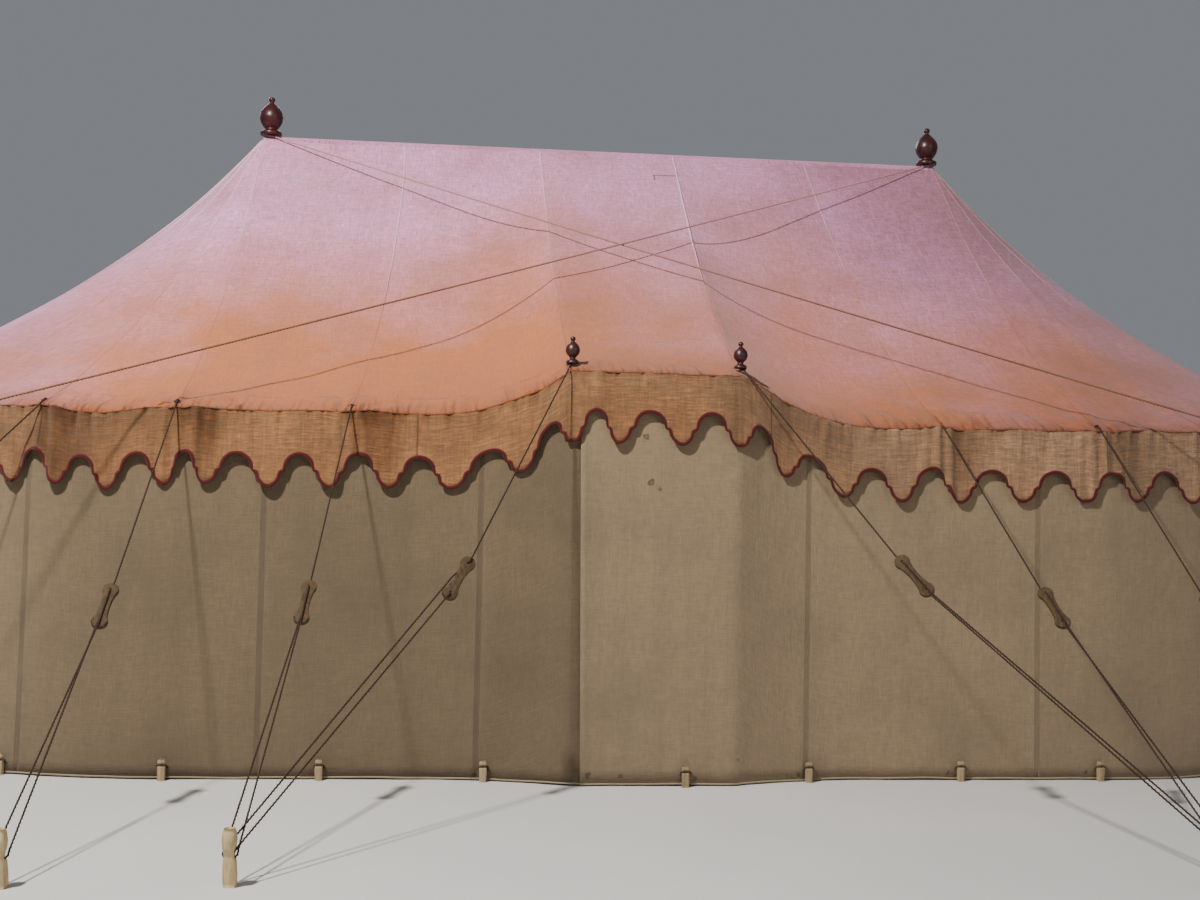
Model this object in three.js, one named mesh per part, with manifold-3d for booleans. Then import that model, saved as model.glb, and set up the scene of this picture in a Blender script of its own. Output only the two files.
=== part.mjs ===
// Headquarters tent: an oval marquee with two uprights, a ridge pole, a hollow-sagging cloth roof,
// a scalloped valance, hanging walls, a door porch on two short poles, guy lines and storm lines.
// Millimetres, +Z up. The origin is on the ground under the middle of the ridge; the door faces -Y.

import * as THREE from "three";
import { mergeVertices } from "three/addons/utils/BufferGeometryUtils.js";
import Module from "manifold-3d";

const wasm = await Module();
wasm.setup();

// Heights
const RIDGE_Z = 3385;
const EAVE_Z = 1630;
const PORCH_Z = 1830;
const VALANCE_DROP = 340;
const SCALLOP_RISE = 140;

// Plan of the cloth: the straight sides carry five breadths of canvas, the ends are half ovals
const RIDGE_HALF = 2085;
const EAVE_HALF = 2120;
const HALF_DEPTH = 2390;
const END_REACH = 2310;
const PORCH_REACH = 2521;
const LIFT_REACH = 650;
const DOOR_HALF = 381;
const SEAM_INNER = 415;
const SEAM_OUTER = 1245;
const SEAM_OUTER_EAVE = 1360;
const GORES = 12;
const SCALLOP_PITCH = 275;
const SCALLOP_STEPS = 3;

// How far the cloth hangs below a straight line from ridge to eave, as shares of the drop, and how
// much more it does so near the ridge; the middle of each end is more hollow than the sides
const SAG = 0.101;
const SAG_SKEW = -0.039;
const END_SAG = 0.12;
const END_SAG_SKEW = 0.12;

// Cloth: the sheets are drawn thicker than the linen they stand for
const CLOTH = 5;
const ROOF_CLOTH = 6;
const WALL_INSET = 18;
const WALL_BASE_OUT = 25;
const VALANCE_FLARE = 22;
const FLAP_LAP = 5.5;
const FLAP_LEFT = -330;
const FLAP_RIGHT = 660;
const BEHIND_FLAP = 25;
const GAP = 0.3;
const WELD = 1e-4;

// Poles and their pins
const UPRIGHT_X = 2050;
const UPRIGHT_R = 35;
const RIDGE_POLE_R = 30;
const RIDGE_POLE_HALF = 2078;
const SPINDLE_R = 7;
const DOOR_POLE_R = 22;
const DOOR_POLE_Y = -2469;
const DOOR_PIN_R = 6;
const PIN_IN_FINIAL = 30;
const PIN_ROOT = 10;
const DOOR_HEAD_TAPER = 30;
const DOOR_HEAD_R = 10;
const UNDER_PORCH = 10;
const OVER_PORCH = 6;
const POLE_SIDES = 16;
const PIN_SIDES = 12;
const FINIAL_SIDES = 12;

// Ropes, sliders and stakes
const GUY_R = 4;
const STORM_R = 5;
const ROPE_SIDES = 5;
const ROPE_FLATNESS = 0.95;
const STORM_SIDES = 6;
const RING_SIDES = 8;
const SLIDER_HALF = 78;
const SLIDER_END_R = 28;
const SLIDER_WAIST = 15;
const SLIDER_THICK = 20;
const SLIDER_DROOP = 0.12;
const STRAND_SPREAD = 12;
const GUY_BELOW_EAVE = 20;
const GUY_PAST_PORCH = 9;
const GUY_OVER_PORCH = 2;
const DOOR_GUY_ASIDE = 20;
const STAKE_H = 194;
const STAKE_NECK_R = 19;
const STAKE_NECK_Z = 116;
const END_STAKE_REACH = 3900;
const SIDE_STAKE_Y = 4070;
const SEAM_STAKE_X = 1590;
const CORNER_STAKE_X = 2310;
const STORM_X = 7000;
const STORM_Y = 5250;
const STORM_STEPS = 6;
const LOW_STORM_SAG = 60;
const HIGH_STORM_SAG = 35;

// Slack: each slider hangs a share of the way to its stake, a little below the straight line
const EAVE_HANG = { share: 0.46, slack: 80 };
const FRONT_HANGS = {
  front_left_corner: { eave: { share: 0.477, slack: 80 } },
  front_left: { eave: { share: 0.448, slack: 105 }, door: { share: 0.392, slack: 220 } },
  front_right: { eave: { share: 0.455, slack: 65 }, door: { share: 0.41, slack: 145 } },
  front_right_corner: { eave: EAVE_HANG },
};

const linen = new THREE.MeshStandardMaterial({ color: 0xd9c3b4, roughness: 0.95, metalness: 0 });
const valanceLinen = new THREE.MeshStandardMaterial({ color: 0xb08e72, roughness: 0.95, metalness: 0 });
const wallLinen = new THREE.MeshStandardMaterial({ color: 0x9c8a78, roughness: 0.95, metalness: 0 });
const poleWood = new THREE.MeshStandardMaterial({ color: 0x9a7a52, roughness: 0.7, metalness: 0 });
const finialPaint = new THREE.MeshStandardMaterial({ color: 0x3a1014, roughness: 0.25, metalness: 0 });
const hemp = new THREE.MeshStandardMaterial({ color: 0x4a3526, roughness: 0.95, metalness: 0 });
const stakeWood = new THREE.MeshStandardMaterial({ color: 0xc2ac80, roughness: 0.8, metalness: 0 });

const tent = new THREE.Group();

function add(name, geometry, material) {
  const mesh = new THREE.Mesh(geometry, material);
  mesh.name = name;
  tent.add(mesh);
}

// Solids that are joined or cut

function solid(geometry) {
  const bare = geometry.clone();
  bare.deleteAttribute("normal");
  bare.deleteAttribute("uv");
  const merged = mergeVertices(bare, WELD);
  return new wasm.Manifold(new wasm.Mesh({
    numProp: 3,
    vertProperties: new Float32Array(merged.attributes.position.array),
    triVerts: new Uint32Array(merged.index.array),
  }));
}

function geometryOf(manifold) {
  const mesh = manifold.getMesh();
  const geometry = new THREE.BufferGeometry();
  geometry.setAttribute("position", new THREE.BufferAttribute(new Float32Array(mesh.vertProperties), 3));
  geometry.setIndex(new THREE.BufferAttribute(new Uint32Array(mesh.triVerts), 1));
  geometry.computeVertexNormals();
  return geometry;
}

function joined(solids) {
  return solids.reduce((whole, piece) => whole.add(piece));
}

// An upright cylinder from one height to another
function post(x, y, low, high, radius, sides) {
  const geometry = new THREE.CylinderGeometry(radius, radius, high - low, sides);
  geometry.rotateX(Math.PI / 2);
  geometry.translate(x, y, (low + high) / 2);
  return geometry;
}

// A straight rope between two points
function rope(from, to, radius) {
  const run = to.clone().sub(from);
  const geometry = new THREE.CylinderGeometry(radius, radius, run.length(), ROPE_SIDES);
  geometry.applyQuaternion(new THREE.Quaternion().setFromUnitVectors(
    new THREE.Vector3(0, 1, 0), run.clone().normalize()));
  geometry.translate((from.x + to.x) / 2, (from.y + to.y) / 2, (from.z + to.z) / 2);
  return geometry;
}

// A turned piece from a profile of radius and height pairs, standing at a point
function turned(profile, sides, x, y, z) {
  const geometry = new THREE.LatheGeometry(profile.map(([r, h]) => new THREE.Vector2(r, h)), sides);
  geometry.rotateX(Math.PI / 2);
  geometry.translate(x, y, z);
  return geometry;
}

// A level ring of rope with flats, around a stake that has the same flats
function ropeRing(x, y, z, innerRadius, ropeRadius) {
  const middle = innerRadius + ropeRadius;
  const section = [
    [middle - ropeRadius, 0], [middle, -ropeRadius], [middle + ropeRadius, 0],
    [middle, ropeRadius], [middle - ropeRadius, 0],
  ];
  return turned(section, RING_SIDES, x, y, z);
}

// A ring of rope whose flats clear a round pin
function pinRing(x, y, z, pinRadius, ropeRadius) {
  return ropeRing(x, y, z, (pinRadius + GAP) / Math.cos(Math.PI / RING_SIDES), ropeRadius);
}

// A closed sheet between an outer and an inner grid of points
function sheet(outer, inner) {
  const cols = outer.length;
  const rows = outer[0].length;
  const positions = [];
  for (const grid of [outer, inner]) {
    for (const column of grid) {
      column.forEach((p) => positions.push(p.x, p.y, p.z));
    }
  }
  const index = [];
  const at = (side, i, j) => (side * cols + i) * rows + j;
  const quad = (a, b, c, d) => index.push(a, b, c, a, c, d);
  for (let i = 0; i < cols - 1; i++) {
    for (let j = 0; j < rows - 1; j++) {
      quad(at(0, i, j), at(0, i, j + 1), at(0, i + 1, j + 1), at(0, i + 1, j));
      quad(at(1, i, j), at(1, i + 1, j), at(1, i + 1, j + 1), at(1, i, j + 1));
    }
    quad(at(0, i, 0), at(0, i + 1, 0), at(1, i + 1, 0), at(1, i, 0));
    quad(at(0, i, rows - 1), at(1, i, rows - 1), at(1, i + 1, rows - 1), at(0, i + 1, rows - 1));
  }
  for (let j = 0; j < rows - 1; j++) {
    quad(at(0, 0, j), at(1, 0, j), at(1, 0, j + 1), at(0, 0, j + 1));
    quad(at(0, cols - 1, j), at(0, cols - 1, j + 1), at(1, cols - 1, j + 1), at(1, cols - 1, j));
  }
  const geometry = new THREE.BufferGeometry();
  geometry.setAttribute("position", new THREE.Float32BufferAttribute(positions, 3));
  geometry.setIndex(index);
  geometry.computeVertexNormals();
  return geometry;
}

// Rays: each one is a line down the cloth, from the ridge to its foot at the eave.
// They run counterclockwise seen from above, and out is the way the wall faces there.

// A value read off the straight lines between pairs of numbers
function along(pairs, x) {
  const last = pairs.length - 1;
  const k = pairs.findIndex(([mark], n) => n > 0 && (x <= mark || n === last));
  const [before, low] = pairs[k - 1];
  const [after, high] = pairs[k];
  return low + (high - low) * (x - before) / (after - before);
}

// The straight front and back drop from the ridge; the door pulls the front out and up
const RIDGE_TO_EAVE = [[0, 0], [SEAM_INNER, DOOR_HALF], [SEAM_OUTER, SEAM_OUTER_EAVE], [RIDGE_HALF, EAVE_HALF]];
const EAVE_TO_RIDGE = RIDGE_TO_EAVE.map(([ridge, eave]) => [eave, ridge]);
const eaveXOf = (ridgeX) => Math.sign(ridgeX) * along(RIDGE_TO_EAVE, Math.abs(ridgeX));
const ridgeXFor = (eaveX) => Math.sign(eaveX) * along(EAVE_TO_RIDGE, Math.abs(eaveX));

function porchShare(x) {
  const past = Math.max(0, Math.abs(x) - DOOR_HALF);
  return Math.max(0, 1 - past / LIFT_REACH) ** 2;
}

function frontRay(ridgeX) {
  const x = eaveXOf(ridgeX);
  const share = porchShare(x);
  return {
    top: new THREE.Vector3(ridgeX, -GAP / 2, RIDGE_Z),
    foot: new THREE.Vector3(x, -(HALF_DEPTH + (PORCH_REACH - HALF_DEPTH) * share),
      EAVE_Z + (PORCH_Z - EAVE_Z) * share),
    out: new THREE.Vector3(0, -1, 0),
  };
}

function backRay(ridgeX) {
  return {
    top: new THREE.Vector3(ridgeX, GAP / 2, RIDGE_Z),
    foot: new THREE.Vector3(ridgeX * EAVE_HALF / RIDGE_HALF, HALF_DEPTH, EAVE_Z),
    out: new THREE.Vector3(0, 1, 0),
  };
}

// The ends fan out from the ends of the ridge; angle 0 is the front corner, PI the back one
function endRay(end, angle) {
  const across = Math.sin(angle);
  const along = -Math.cos(angle);
  const foot = new THREE.Vector3(end * (EAVE_HALF + END_REACH * across), HALF_DEPTH * along, EAVE_Z);
  const out = new THREE.Vector3(end * across / END_REACH, along / HALF_DEPTH, 0).normalize();
  return { top: new THREE.Vector3(end * RIDGE_HALF, 0, RIDGE_Z), foot, out };
}

const T_WALL = 1 - WALL_INSET / HALF_DEPTH;
const ROOF_ROWS = [0, 0.06, 0.14, 0.25, 0.38, 0.52, 0.67, 0.82, T_WALL, 1];

// The top of the cloth at a share of the way down a ray, on the curve
function roofPoint(ray, share) {
  const round = (Math.max(0, Math.abs(ray.foot.x) - EAVE_HALF) / END_REACH) ** 2;
  const depth = THREE.MathUtils.lerp(SAG, END_SAG, round);
  const skew = THREE.MathUtils.lerp(SAG_SKEW, END_SAG_SKEW, round);
  const sag = 4 * share * (1 - share) * (depth + skew * (0.5 - share));
  const point = ray.top.clone().lerp(ray.foot, share);
  point.z = ray.foot.z + (ray.top.z - ray.foot.z) * (1 - share - sag);
  return point;
}

// Places along the ridge where rays start: they are closer together beside the door, where the eave rises
const BESIDE_DOOR = [0.07, 0.15, 0.27, 0.44, 0.70].map(
  (share) => SEAM_INNER + (SEAM_OUTER - SEAM_INNER) * share);
const FRONT_STATIONS = [SEAM_INNER, ...BESIDE_DOOR, SEAM_OUTER, (SEAM_OUTER + RIDGE_HALF) / 2, RIDGE_HALF];
const PORCH_STATIONS = [-SEAM_INNER, -SEAM_INNER / 2, 0, SEAM_INNER / 2, SEAM_INNER];
const BACK_STATIONS = [-RIDGE_HALF, -SEAM_OUTER, -SEAM_INNER, SEAM_INNER, SEAM_OUTER, RIDGE_HALF];

// Rays of one stretch of the front, drawn in by half a gap at both ends
function stretch(makeRay, stations) {
  const first = stations[0] + GAP / 2;
  const last = stations[stations.length - 1] - GAP / 2;
  return [first, ...stations.slice(1, -1), last].map(makeRay);
}

function endRays(end) {
  const angles = Array.from({ length: GORES + 1 }, (_, k) => Math.PI * k / GORES);
  const rays = angles.map((angle) => endRay(end, angle));
  for (const ray of rays) {
    ray.top.x += end * GAP;
    ray.foot.x += end * GAP;
  }
  return end > 0 ? rays : rays.reverse();
}

const mirrored = (stations) => stations.map((x) => -x).reverse();

const SIDES = {
  front_left: stretch(frontRay, mirrored(FRONT_STATIONS)),
  porch: stretch(frontRay, PORCH_STATIONS),
  front_right: stretch(frontRay, FRONT_STATIONS),
  end_right: endRays(1),
  back: stretch(backRay, BACK_STATIONS).reverse(),
  end_left: endRays(-1),
};

// Roof: the cloth lies on the ridge pole and is cut round the pins that pass through it

function roofSheet(rays, rows) {
  const outer = rays.map((ray) => rows.map((share) => roofPoint(ray, share)));
  const inner = outer.map((column) => column.map((p) => new THREE.Vector3(p.x, p.y, p.z - ROOF_CLOTH)));
  return sheet(outer, inner);
}

function pinHole(x, y, low, radius) {
  return solid(post(x, y, low, RIDGE_Z + ROOF_CLOTH, radius + GAP, PIN_SIDES));
}

const pinHoles = joined([-1, 1].flatMap((side) => [
  pinHole(side * UPRIGHT_X, 0, PORCH_Z, SPINDLE_R),
  pinHole(side * DOOR_HALF, DOOR_POLE_Y, EAVE_Z, DOOR_PIN_R),
]));

for (const name of ["front_left", "porch", "front_right", "back"]) {
  add(`roof_${name}`, geometryOf(solid(roofSheet(SIDES[name], ROOF_ROWS)).subtract(pinHoles)), linen);
}

// The rays of an end start at one point: their first row is a small half ring round that point
const APEX_SHARE = 0.006;
for (const name of ["end_left", "end_right"]) {
  add(`roof_${name}`, roofSheet(SIDES[name], [APEX_SHARE, ...ROOF_ROWS.slice(1)]), linen);
}

// Walls: they hang just inside the eave and stand a little out at the ground

// The lowest place under the roof cloth at a wall that is set out by a lap
function wallTop(ray, lap) {
  const line = roofPoint(ray, T_WALL);
  const edge = roofPoint(ray, 1);
  const inset = Math.hypot(edge.x - line.x, edge.y - line.y);
  const top = line.lerp(edge, lap / inset);
  top.z -= ROOF_CLOTH + GAP;
  return top;
}

function wallSheet(rays, lapOf) {
  const outer = rays.map((ray) => {
    const lap = lapOf(ray);
    const base = ray.foot.clone().addScaledVector(ray.out, WALL_BASE_OUT + lap);
    return [wallTop(ray, lap), base.setZ(0)];
  });
  const inner = outer.map((column, k) => column.map((p) => p.clone().addScaledVector(rays[k].out, -CLOTH)));
  return sheet(outer, inner);
}

const noLap = () => 0;

// The flap lies over the left wall at its free edge and runs into the right wall
const flapLap = (ray) => FLAP_LAP * Math.min(1, Math.max(0, (FLAP_RIGHT - ray.foot.x) / FLAP_RIGHT));

const flapLeft = ridgeXFor(FLAP_LEFT);
const flapRight = ridgeXFor(FLAP_RIGHT);
const beyondFlap = FRONT_STATIONS.filter((x) => x > flapRight);
const withinFlap = FRONT_STATIONS.filter((x) => x < flapRight);
const leftWallEnd = flapLeft + BEHIND_FLAP;

add("wall_front_left", wallSheet(
  stretch(frontRay, [...mirrored(FRONT_STATIONS), leftWallEnd]), noLap), wallLinen);
add("door_flap", wallSheet(
  stretch(frontRay, [flapLeft, ...PORCH_STATIONS.slice(1, -1), ...withinFlap, flapRight]), flapLap), wallLinen);
add("wall_front_right", wallSheet(stretch(frontRay, [flapRight, ...beyondFlap]), noLap), wallLinen);
add("wall_end_right", wallSheet(SIDES.end_right, noLap), wallLinen);
add("wall_back", wallSheet(SIDES.back, noLap), wallLinen);
add("wall_end_left", wallSheet(SIDES.end_left, noLap), wallLinen);

// Valance: a strip of scallops that hangs from the edge of the roof

function alongEave(rays) {
  const marks = [0];
  for (let k = 1; k < rays.length; k++) {
    marks.push(marks[k - 1] + rays[k].foot.distanceTo(rays[k - 1].foot));
  }
  return marks;
}

function eaveAt(rays, marks, place) {
  let k = 1;
  while (k < marks.length - 1 && place > marks[k]) {
    k++;
  }
  const share = (place - marks[k - 1]) / (marks[k] - marks[k - 1]);
  return {
    foot: rays[k - 1].foot.clone().lerp(rays[k].foot, share),
    out: rays[k - 1].out.clone().lerp(rays[k].out, share),
  };
}

// Columns follow the scallops and the rays, unless a ray is this close to a scallop's column
const SAME_COLUMN = 1;

function valanceSheet(rays) {
  const marks = alongEave(rays);
  const length = marks[marks.length - 1];
  const scallops = Math.round(length / SCALLOP_PITCH);
  const step = length / scallops / SCALLOP_STEPS;
  const places = Array.from({ length: scallops * SCALLOP_STEPS + 1 }, (_, k) => k * step);
  const breaks = marks.filter((mark) => places.every((place) => Math.abs(place - mark) > SAME_COLUMN));
  const all = [...places, ...breaks].sort((a, b) => a - b);
  const outer = [];
  const inner = [];
  for (const place of all) {
    const { foot, out } = eaveAt(rays, marks, Math.min(place, length));
    const rise = SCALLOP_RISE * (1 - Math.cos(2 * Math.PI * place * scallops / length)) / 2;
    const top = new THREE.Vector3(foot.x, foot.y, foot.z - ROOF_CLOTH - GAP);
    const hem = foot.clone().addScaledVector(out, VALANCE_FLARE);
    hem.z = foot.z - VALANCE_DROP + rise;
    outer.push([top, hem]);
    inner.push([top, hem].map((p) => p.clone().addScaledVector(out, -CLOTH)));
  }
  return sheet(outer, inner);
}

for (const [name, rays] of Object.entries(SIDES)) {
  add(`valance_${name}`, valanceSheet(rays), valanceLinen);
}

// Poles: the ridge pole lies under the peak of the cloth, on two uprights whose spindles pass through it

const underRidge = roofPoint(backRay(RIDGE_HALF), ROOF_ROWS[1]);
const ridgeSlope = (RIDGE_Z - underRidge.z) / underRidge.y;
const RIDGE_POLE_Z = RIDGE_Z - ROOF_CLOTH - (RIDGE_POLE_R + GAP) * Math.hypot(1, ridgeSlope);
const UPRIGHT_TOP = RIDGE_POLE_Z - RIDGE_POLE_R - GAP;
const STORM_RING_Z = RIDGE_Z + STORM_R + GAP;
const FINIAL_Z = STORM_RING_Z + STORM_R + GAP;

function upright(x) {
  const pole = solid(post(x, 0, 0, UPRIGHT_TOP, UPRIGHT_R, POLE_SIDES));
  const spindle = solid(post(x, 0, UPRIGHT_TOP - PIN_ROOT, FINIAL_Z + PIN_IN_FINIAL, SPINDLE_R, PIN_SIDES));
  return geometryOf(joined([pole, spindle]));
}

function ridgePole() {
  const bar = new THREE.CylinderGeometry(RIDGE_POLE_R, RIDGE_POLE_R, 2 * RIDGE_POLE_HALF, POLE_SIDES);
  bar.rotateZ(Math.PI / 2);
  bar.translate(0, 0, RIDGE_POLE_Z);
  return geometryOf(solid(bar).subtract(pinHoles));
}

add("upright_left", upright(-UPRIGHT_X), poleWood);
add("upright_right", upright(UPRIGHT_X), poleWood);
add("ridge_pole", ridgePole(), poleWood);

// Door poles: each has a tapered head under the corner of the porch and a pin through it

const doorRay = frontRay(SEAM_INNER);
const porchHeights = ROOF_ROWS.map((share) => [share, roofPoint(doorRay, share).z]);
const PORCH_CLOTH_Z = along(porchHeights, DOOR_POLE_Y / doorRay.foot.y);
const DOOR_POLE_TOP = PORCH_CLOTH_Z - ROOF_CLOTH - UNDER_PORCH;
const DOOR_RING_Z = PORCH_CLOTH_Z + OVER_PORCH + GUY_R;
const DOOR_FINIAL_Z = DOOR_RING_Z + GUY_R + GAP;

function doorPole(x) {
  const profile = [
    [0, 0], [DOOR_POLE_R, 0], [DOOR_POLE_R, DOOR_POLE_TOP - DOOR_HEAD_TAPER],
    [DOOR_HEAD_R, DOOR_POLE_TOP], [0, DOOR_POLE_TOP],
  ];
  const pole = solid(turned(profile, POLE_SIDES, x, DOOR_POLE_Y, 0));
  const pinTop = DOOR_FINIAL_Z + PIN_IN_FINIAL;
  const pin = solid(post(x, DOOR_POLE_Y, DOOR_POLE_TOP - PIN_ROOT, pinTop, DOOR_PIN_R, PIN_SIDES));
  return geometryOf(joined([pole, pin]));
}

add("door_pole_left", doorPole(-DOOR_HALF), poleWood);
add("door_pole_right", doorPole(DOOR_HALF), poleWood);

// Finials: turned and painted, each bored to sit on its pin

const FINIAL_PROFILE = [
  [0, 0], [60, 0], [65, 12], [56, 24], [40, 31], [39, 41], [50, 55], [64, 82],
  [69, 116], [61, 146], [42, 170], [14, 196], [12, 203], [19, 217], [14, 231], [0, 236],
];
const DOOR_FINIAL_PROFILE = [
  [0, 0], [26, 0], [29, 8], [22, 18], [13, 24], [15, 34], [27, 44],
  [32, 62], [29, 82], [15, 102], [7, 108], [12.5, 118], [8, 129], [0, 132],
];

function finial(profile, x, y, z, pinRadius) {
  const body = solid(turned(profile, FINIAL_SIDES, x, y, z));
  const bore = solid(post(x, y, z - PIN_ROOT, z + PIN_IN_FINIAL + GAP, pinRadius + GAP, PIN_SIDES));
  return geometryOf(body.subtract(bore));
}

for (const [hand, side] of [["left", -1], ["right", 1]]) {
  add(`finial_${hand}`, finial(FINIAL_PROFILE, side * UPRIGHT_X, 0, FINIAL_Z, SPINDLE_R), finialPaint);
  add(`door_finial_${hand}`,
    finial(DOOR_FINIAL_PROFILE, side * DOOR_HALF, DOOR_POLE_Y, DOOR_FINIAL_Z, DOOR_PIN_R), finialPaint);
}

// Stakes: hewn pegs with a neck that holds the ropes, shown from the ground up

const STAKE_PROFILE = [
  [0, 0], [26, 0], [27, 60], [STAKE_NECK_R, STAKE_NECK_Z - 10], [STAKE_NECK_R, STAKE_NECK_Z + 10],
  [27, 156], [17, STAKE_H], [0, STAKE_H],
];

function stake(x, y) {
  return turned(STAKE_PROFILE, RING_SIDES, x, y, 0);
}

// Guy lines: one rope from the eave to a wooden slider, two strands from the slider to the stake

// A slider lies along its guy with its flat face turned outwards
function slider(middle, run, out) {
  const outline = new THREE.Shape();
  const turn = Math.PI - Math.asin(SLIDER_WAIST / SLIDER_END_R);
  outline.absarc(SLIDER_HALF, 0, SLIDER_END_R, -turn, turn, false);
  outline.absarc(-SLIDER_HALF, 0, SLIDER_END_R, Math.PI - turn, Math.PI + turn, false);
  const geometry = new THREE.ExtrudeGeometry(outline, {
    depth: SLIDER_THICK, bevelEnabled: false, curveSegments: 3,
  });
  geometry.translate(0, 0, -SLIDER_THICK / 2);
  const across = out.clone().cross(run).normalize();
  const basis = new THREE.Matrix4().makeBasis(run, across, run.clone().cross(across));
  geometry.applyMatrix4(basis.setPosition(middle));
  return geometry;
}

// Where a slider hangs between the start of its guy and the stake
function sliderPlace(start, neck, hang) {
  const middle = start.clone().lerp(neck, hang.share);
  middle.z -= hang.slack;
  return middle;
}

function guyLine(start, out, stakeX, stakeY, hang) {
  const neck = new THREE.Vector3(stakeX, stakeY, STAKE_NECK_Z);
  const middle = sliderPlace(start, neck, hang);
  const before = middle.clone().sub(start).normalize();
  const after = neck.clone().sub(middle).normalize();
  const run = before.add(after).add(new THREE.Vector3(0, 0, -SLIDER_DROOP)).normalize();
  const across = out.clone().cross(run).normalize();
  const level = new THREE.Vector3(-run.y, run.x, 0).normalize();
  const upper = middle.clone().addScaledVector(run, -SLIDER_HALF);
  const lower = middle.clone().addScaledVector(run, SLIDER_HALF);
  const neckSide = STAKE_NECK_R + GAP + GUY_R;
  const strands = [-1, 1].map((side) => {
    const atStake = neck.clone().addScaledVector(level, side * neckSide);
    return solid(rope(lower.clone().addScaledVector(across, side * STRAND_SPREAD), atStake, GUY_R));
  });
  return joined([solid(rope(start, upper, GUY_R)), solid(slider(middle, run, out)), ...strands]);
}

function stakeRing(x, y) {
  return solid(ropeRing(x, y, STAKE_NECK_Z, STAKE_NECK_R + GAP, GUY_R));
}

// Where a guy line leaves the eave: its slanted end just clears the face of the valance
function eaveStart(ray, stakeX, stakeY, hang) {
  const height = ray.foot.z - GUY_BELOW_EAVE;
  const neck = new THREE.Vector3(stakeX, stakeY, STAKE_NECK_Z);
  const run = sliderPlace(ray.foot, neck, hang).sub(ray.foot).normalize();
  const slant = ROPE_FLATNESS * GUY_R * Math.sqrt(1 - run.dot(ray.out) ** 2);
  const face = VALANCE_FLARE * GUY_BELOW_EAVE / VALANCE_DROP;
  return ray.foot.clone().addScaledVector(ray.out, face + slant + GAP).setZ(height);
}

function guySet(rays, x, y, hang) {
  const lines = rays.map((ray) => guyLine(eaveStart(ray, x, y, hang), ray.out, x, y, hang));
  return joined([...lines, stakeRing(x, y)]);
}

// The door guys loop round the door pins and bend over the edge of the porch
function doorGuy(side, stakeX, stakeY, hang) {
  const pin = new THREE.Vector3(side * DOOR_HALF, DOOR_POLE_Y, DOOR_RING_Z);
  const edge = new THREE.Vector3(
    side * (DOOR_HALF + DOOR_GUY_ASIDE), -(PORCH_REACH + GUY_PAST_PORCH), PORCH_Z + GUY_R + GUY_OVER_PORCH);
  const run = edge.clone().sub(pin).setZ(0).normalize();
  const ring = solid(pinRing(pin.x, pin.y, pin.z, DOOR_PIN_R, GUY_R));
  const overEdge = solid(rope(pin.clone().addScaledVector(run, DOOR_PIN_R + GUY_R), edge, GUY_R));
  const knee = new THREE.SphereGeometry(GUY_R + GAP, 8, 6);
  knee.translate(edge.x, edge.y, edge.z);
  const front = new THREE.Vector3(0, -1, 0);
  return joined([ring, overEdge, solid(knee), guyLine(edge, front, stakeX, stakeY, hang)]);
}

// The two stakes on the right of the door stand further out than their partners on the left
const FRONT_STAKES = {
  front_left_corner: [-CORNER_STAKE_X, -SIDE_STAKE_Y],
  front_left: [-SEAM_STAKE_X, -SIDE_STAKE_Y],
  front_right: [1754, -4242],
  front_right_corner: [2450, -SIDE_STAKE_Y],
};

function frontGuys(name, side) {
  const [x, y] = FRONT_STAKES[name];
  const { eave, door } = FRONT_HANGS[name];
  if (!door) {
    return guySet([frontRay(side * RIDGE_HALF)], x, y, eave);
  }
  return joined([doorGuy(side, x, y, door), guySet([frontRay(side * SEAM_OUTER)], x, y, eave)]);
}

for (const name of Object.keys(FRONT_STAKES)) {
  const side = name.includes("left") ? -1 : 1;
  add(`guys_${name}`, geometryOf(frontGuys(name, side)), hemp);
  add(`stake_${name}`, stake(...FRONT_STAKES[name]), stakeWood);
}

// At the back and the ends each set of guy lines is one piece with its stake
function stakedSet(name, rays, x, y) {
  const set = guySet(rays, x, y, EAVE_HANG);
  const peg = solid(stake(x, y));
  const low = STAKE_NECK_Z - GUY_R / 2;
  const bound = solid(post(x, y, low, low + GUY_R, STAKE_NECK_R + GUY_R, RING_SIDES));
  add(`guys_${name}`, geometryOf(joined([set, peg, bound])), hemp);
}

for (const side of [-1, 1]) {
  const hand = side < 0 ? "left" : "right";
  stakedSet(`back_${hand}`, [backRay(side * SEAM_INNER), backRay(side * SEAM_OUTER)],
    side * SEAM_STAKE_X, SIDE_STAKE_Y);
  stakedSet(`back_${hand}_corner`, [backRay(side * RIDGE_HALF)], side * CORNER_STAKE_X, SIDE_STAKE_Y);
  for (const [place, degrees] of [["front", 30], ["middle", 90], ["back", 150]]) {
    const angle = THREE.MathUtils.degToRad(degrees);
    const half = Math.PI / GORES;
    stakedSet(`end_${hand}_${place}`, [endRay(side, angle - half), endRay(side, angle + half)],
      side * (EAVE_HALF + END_STAKE_REACH * Math.sin(angle)), -END_STAKE_REACH * Math.cos(angle));
  }
}

// Storm lines: each is one rope looped over a spindle, with a tail to each far corner

function stormTail(from, to, sag) {
  const middle = from.clone().lerp(to, 0.5);
  middle.z -= 2 * sag;
  const section = new THREE.Shape();
  section.absarc(0, 0, STORM_R, 0, 2 * Math.PI, false);
  return solid(new THREE.ExtrudeGeometry(section, {
    steps: STORM_STEPS, curveSegments: STORM_SIDES / 2, bevelEnabled: false,
    extrudePath: new THREE.QuadraticBezierCurve3(from, middle, to),
  }));
}

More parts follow.
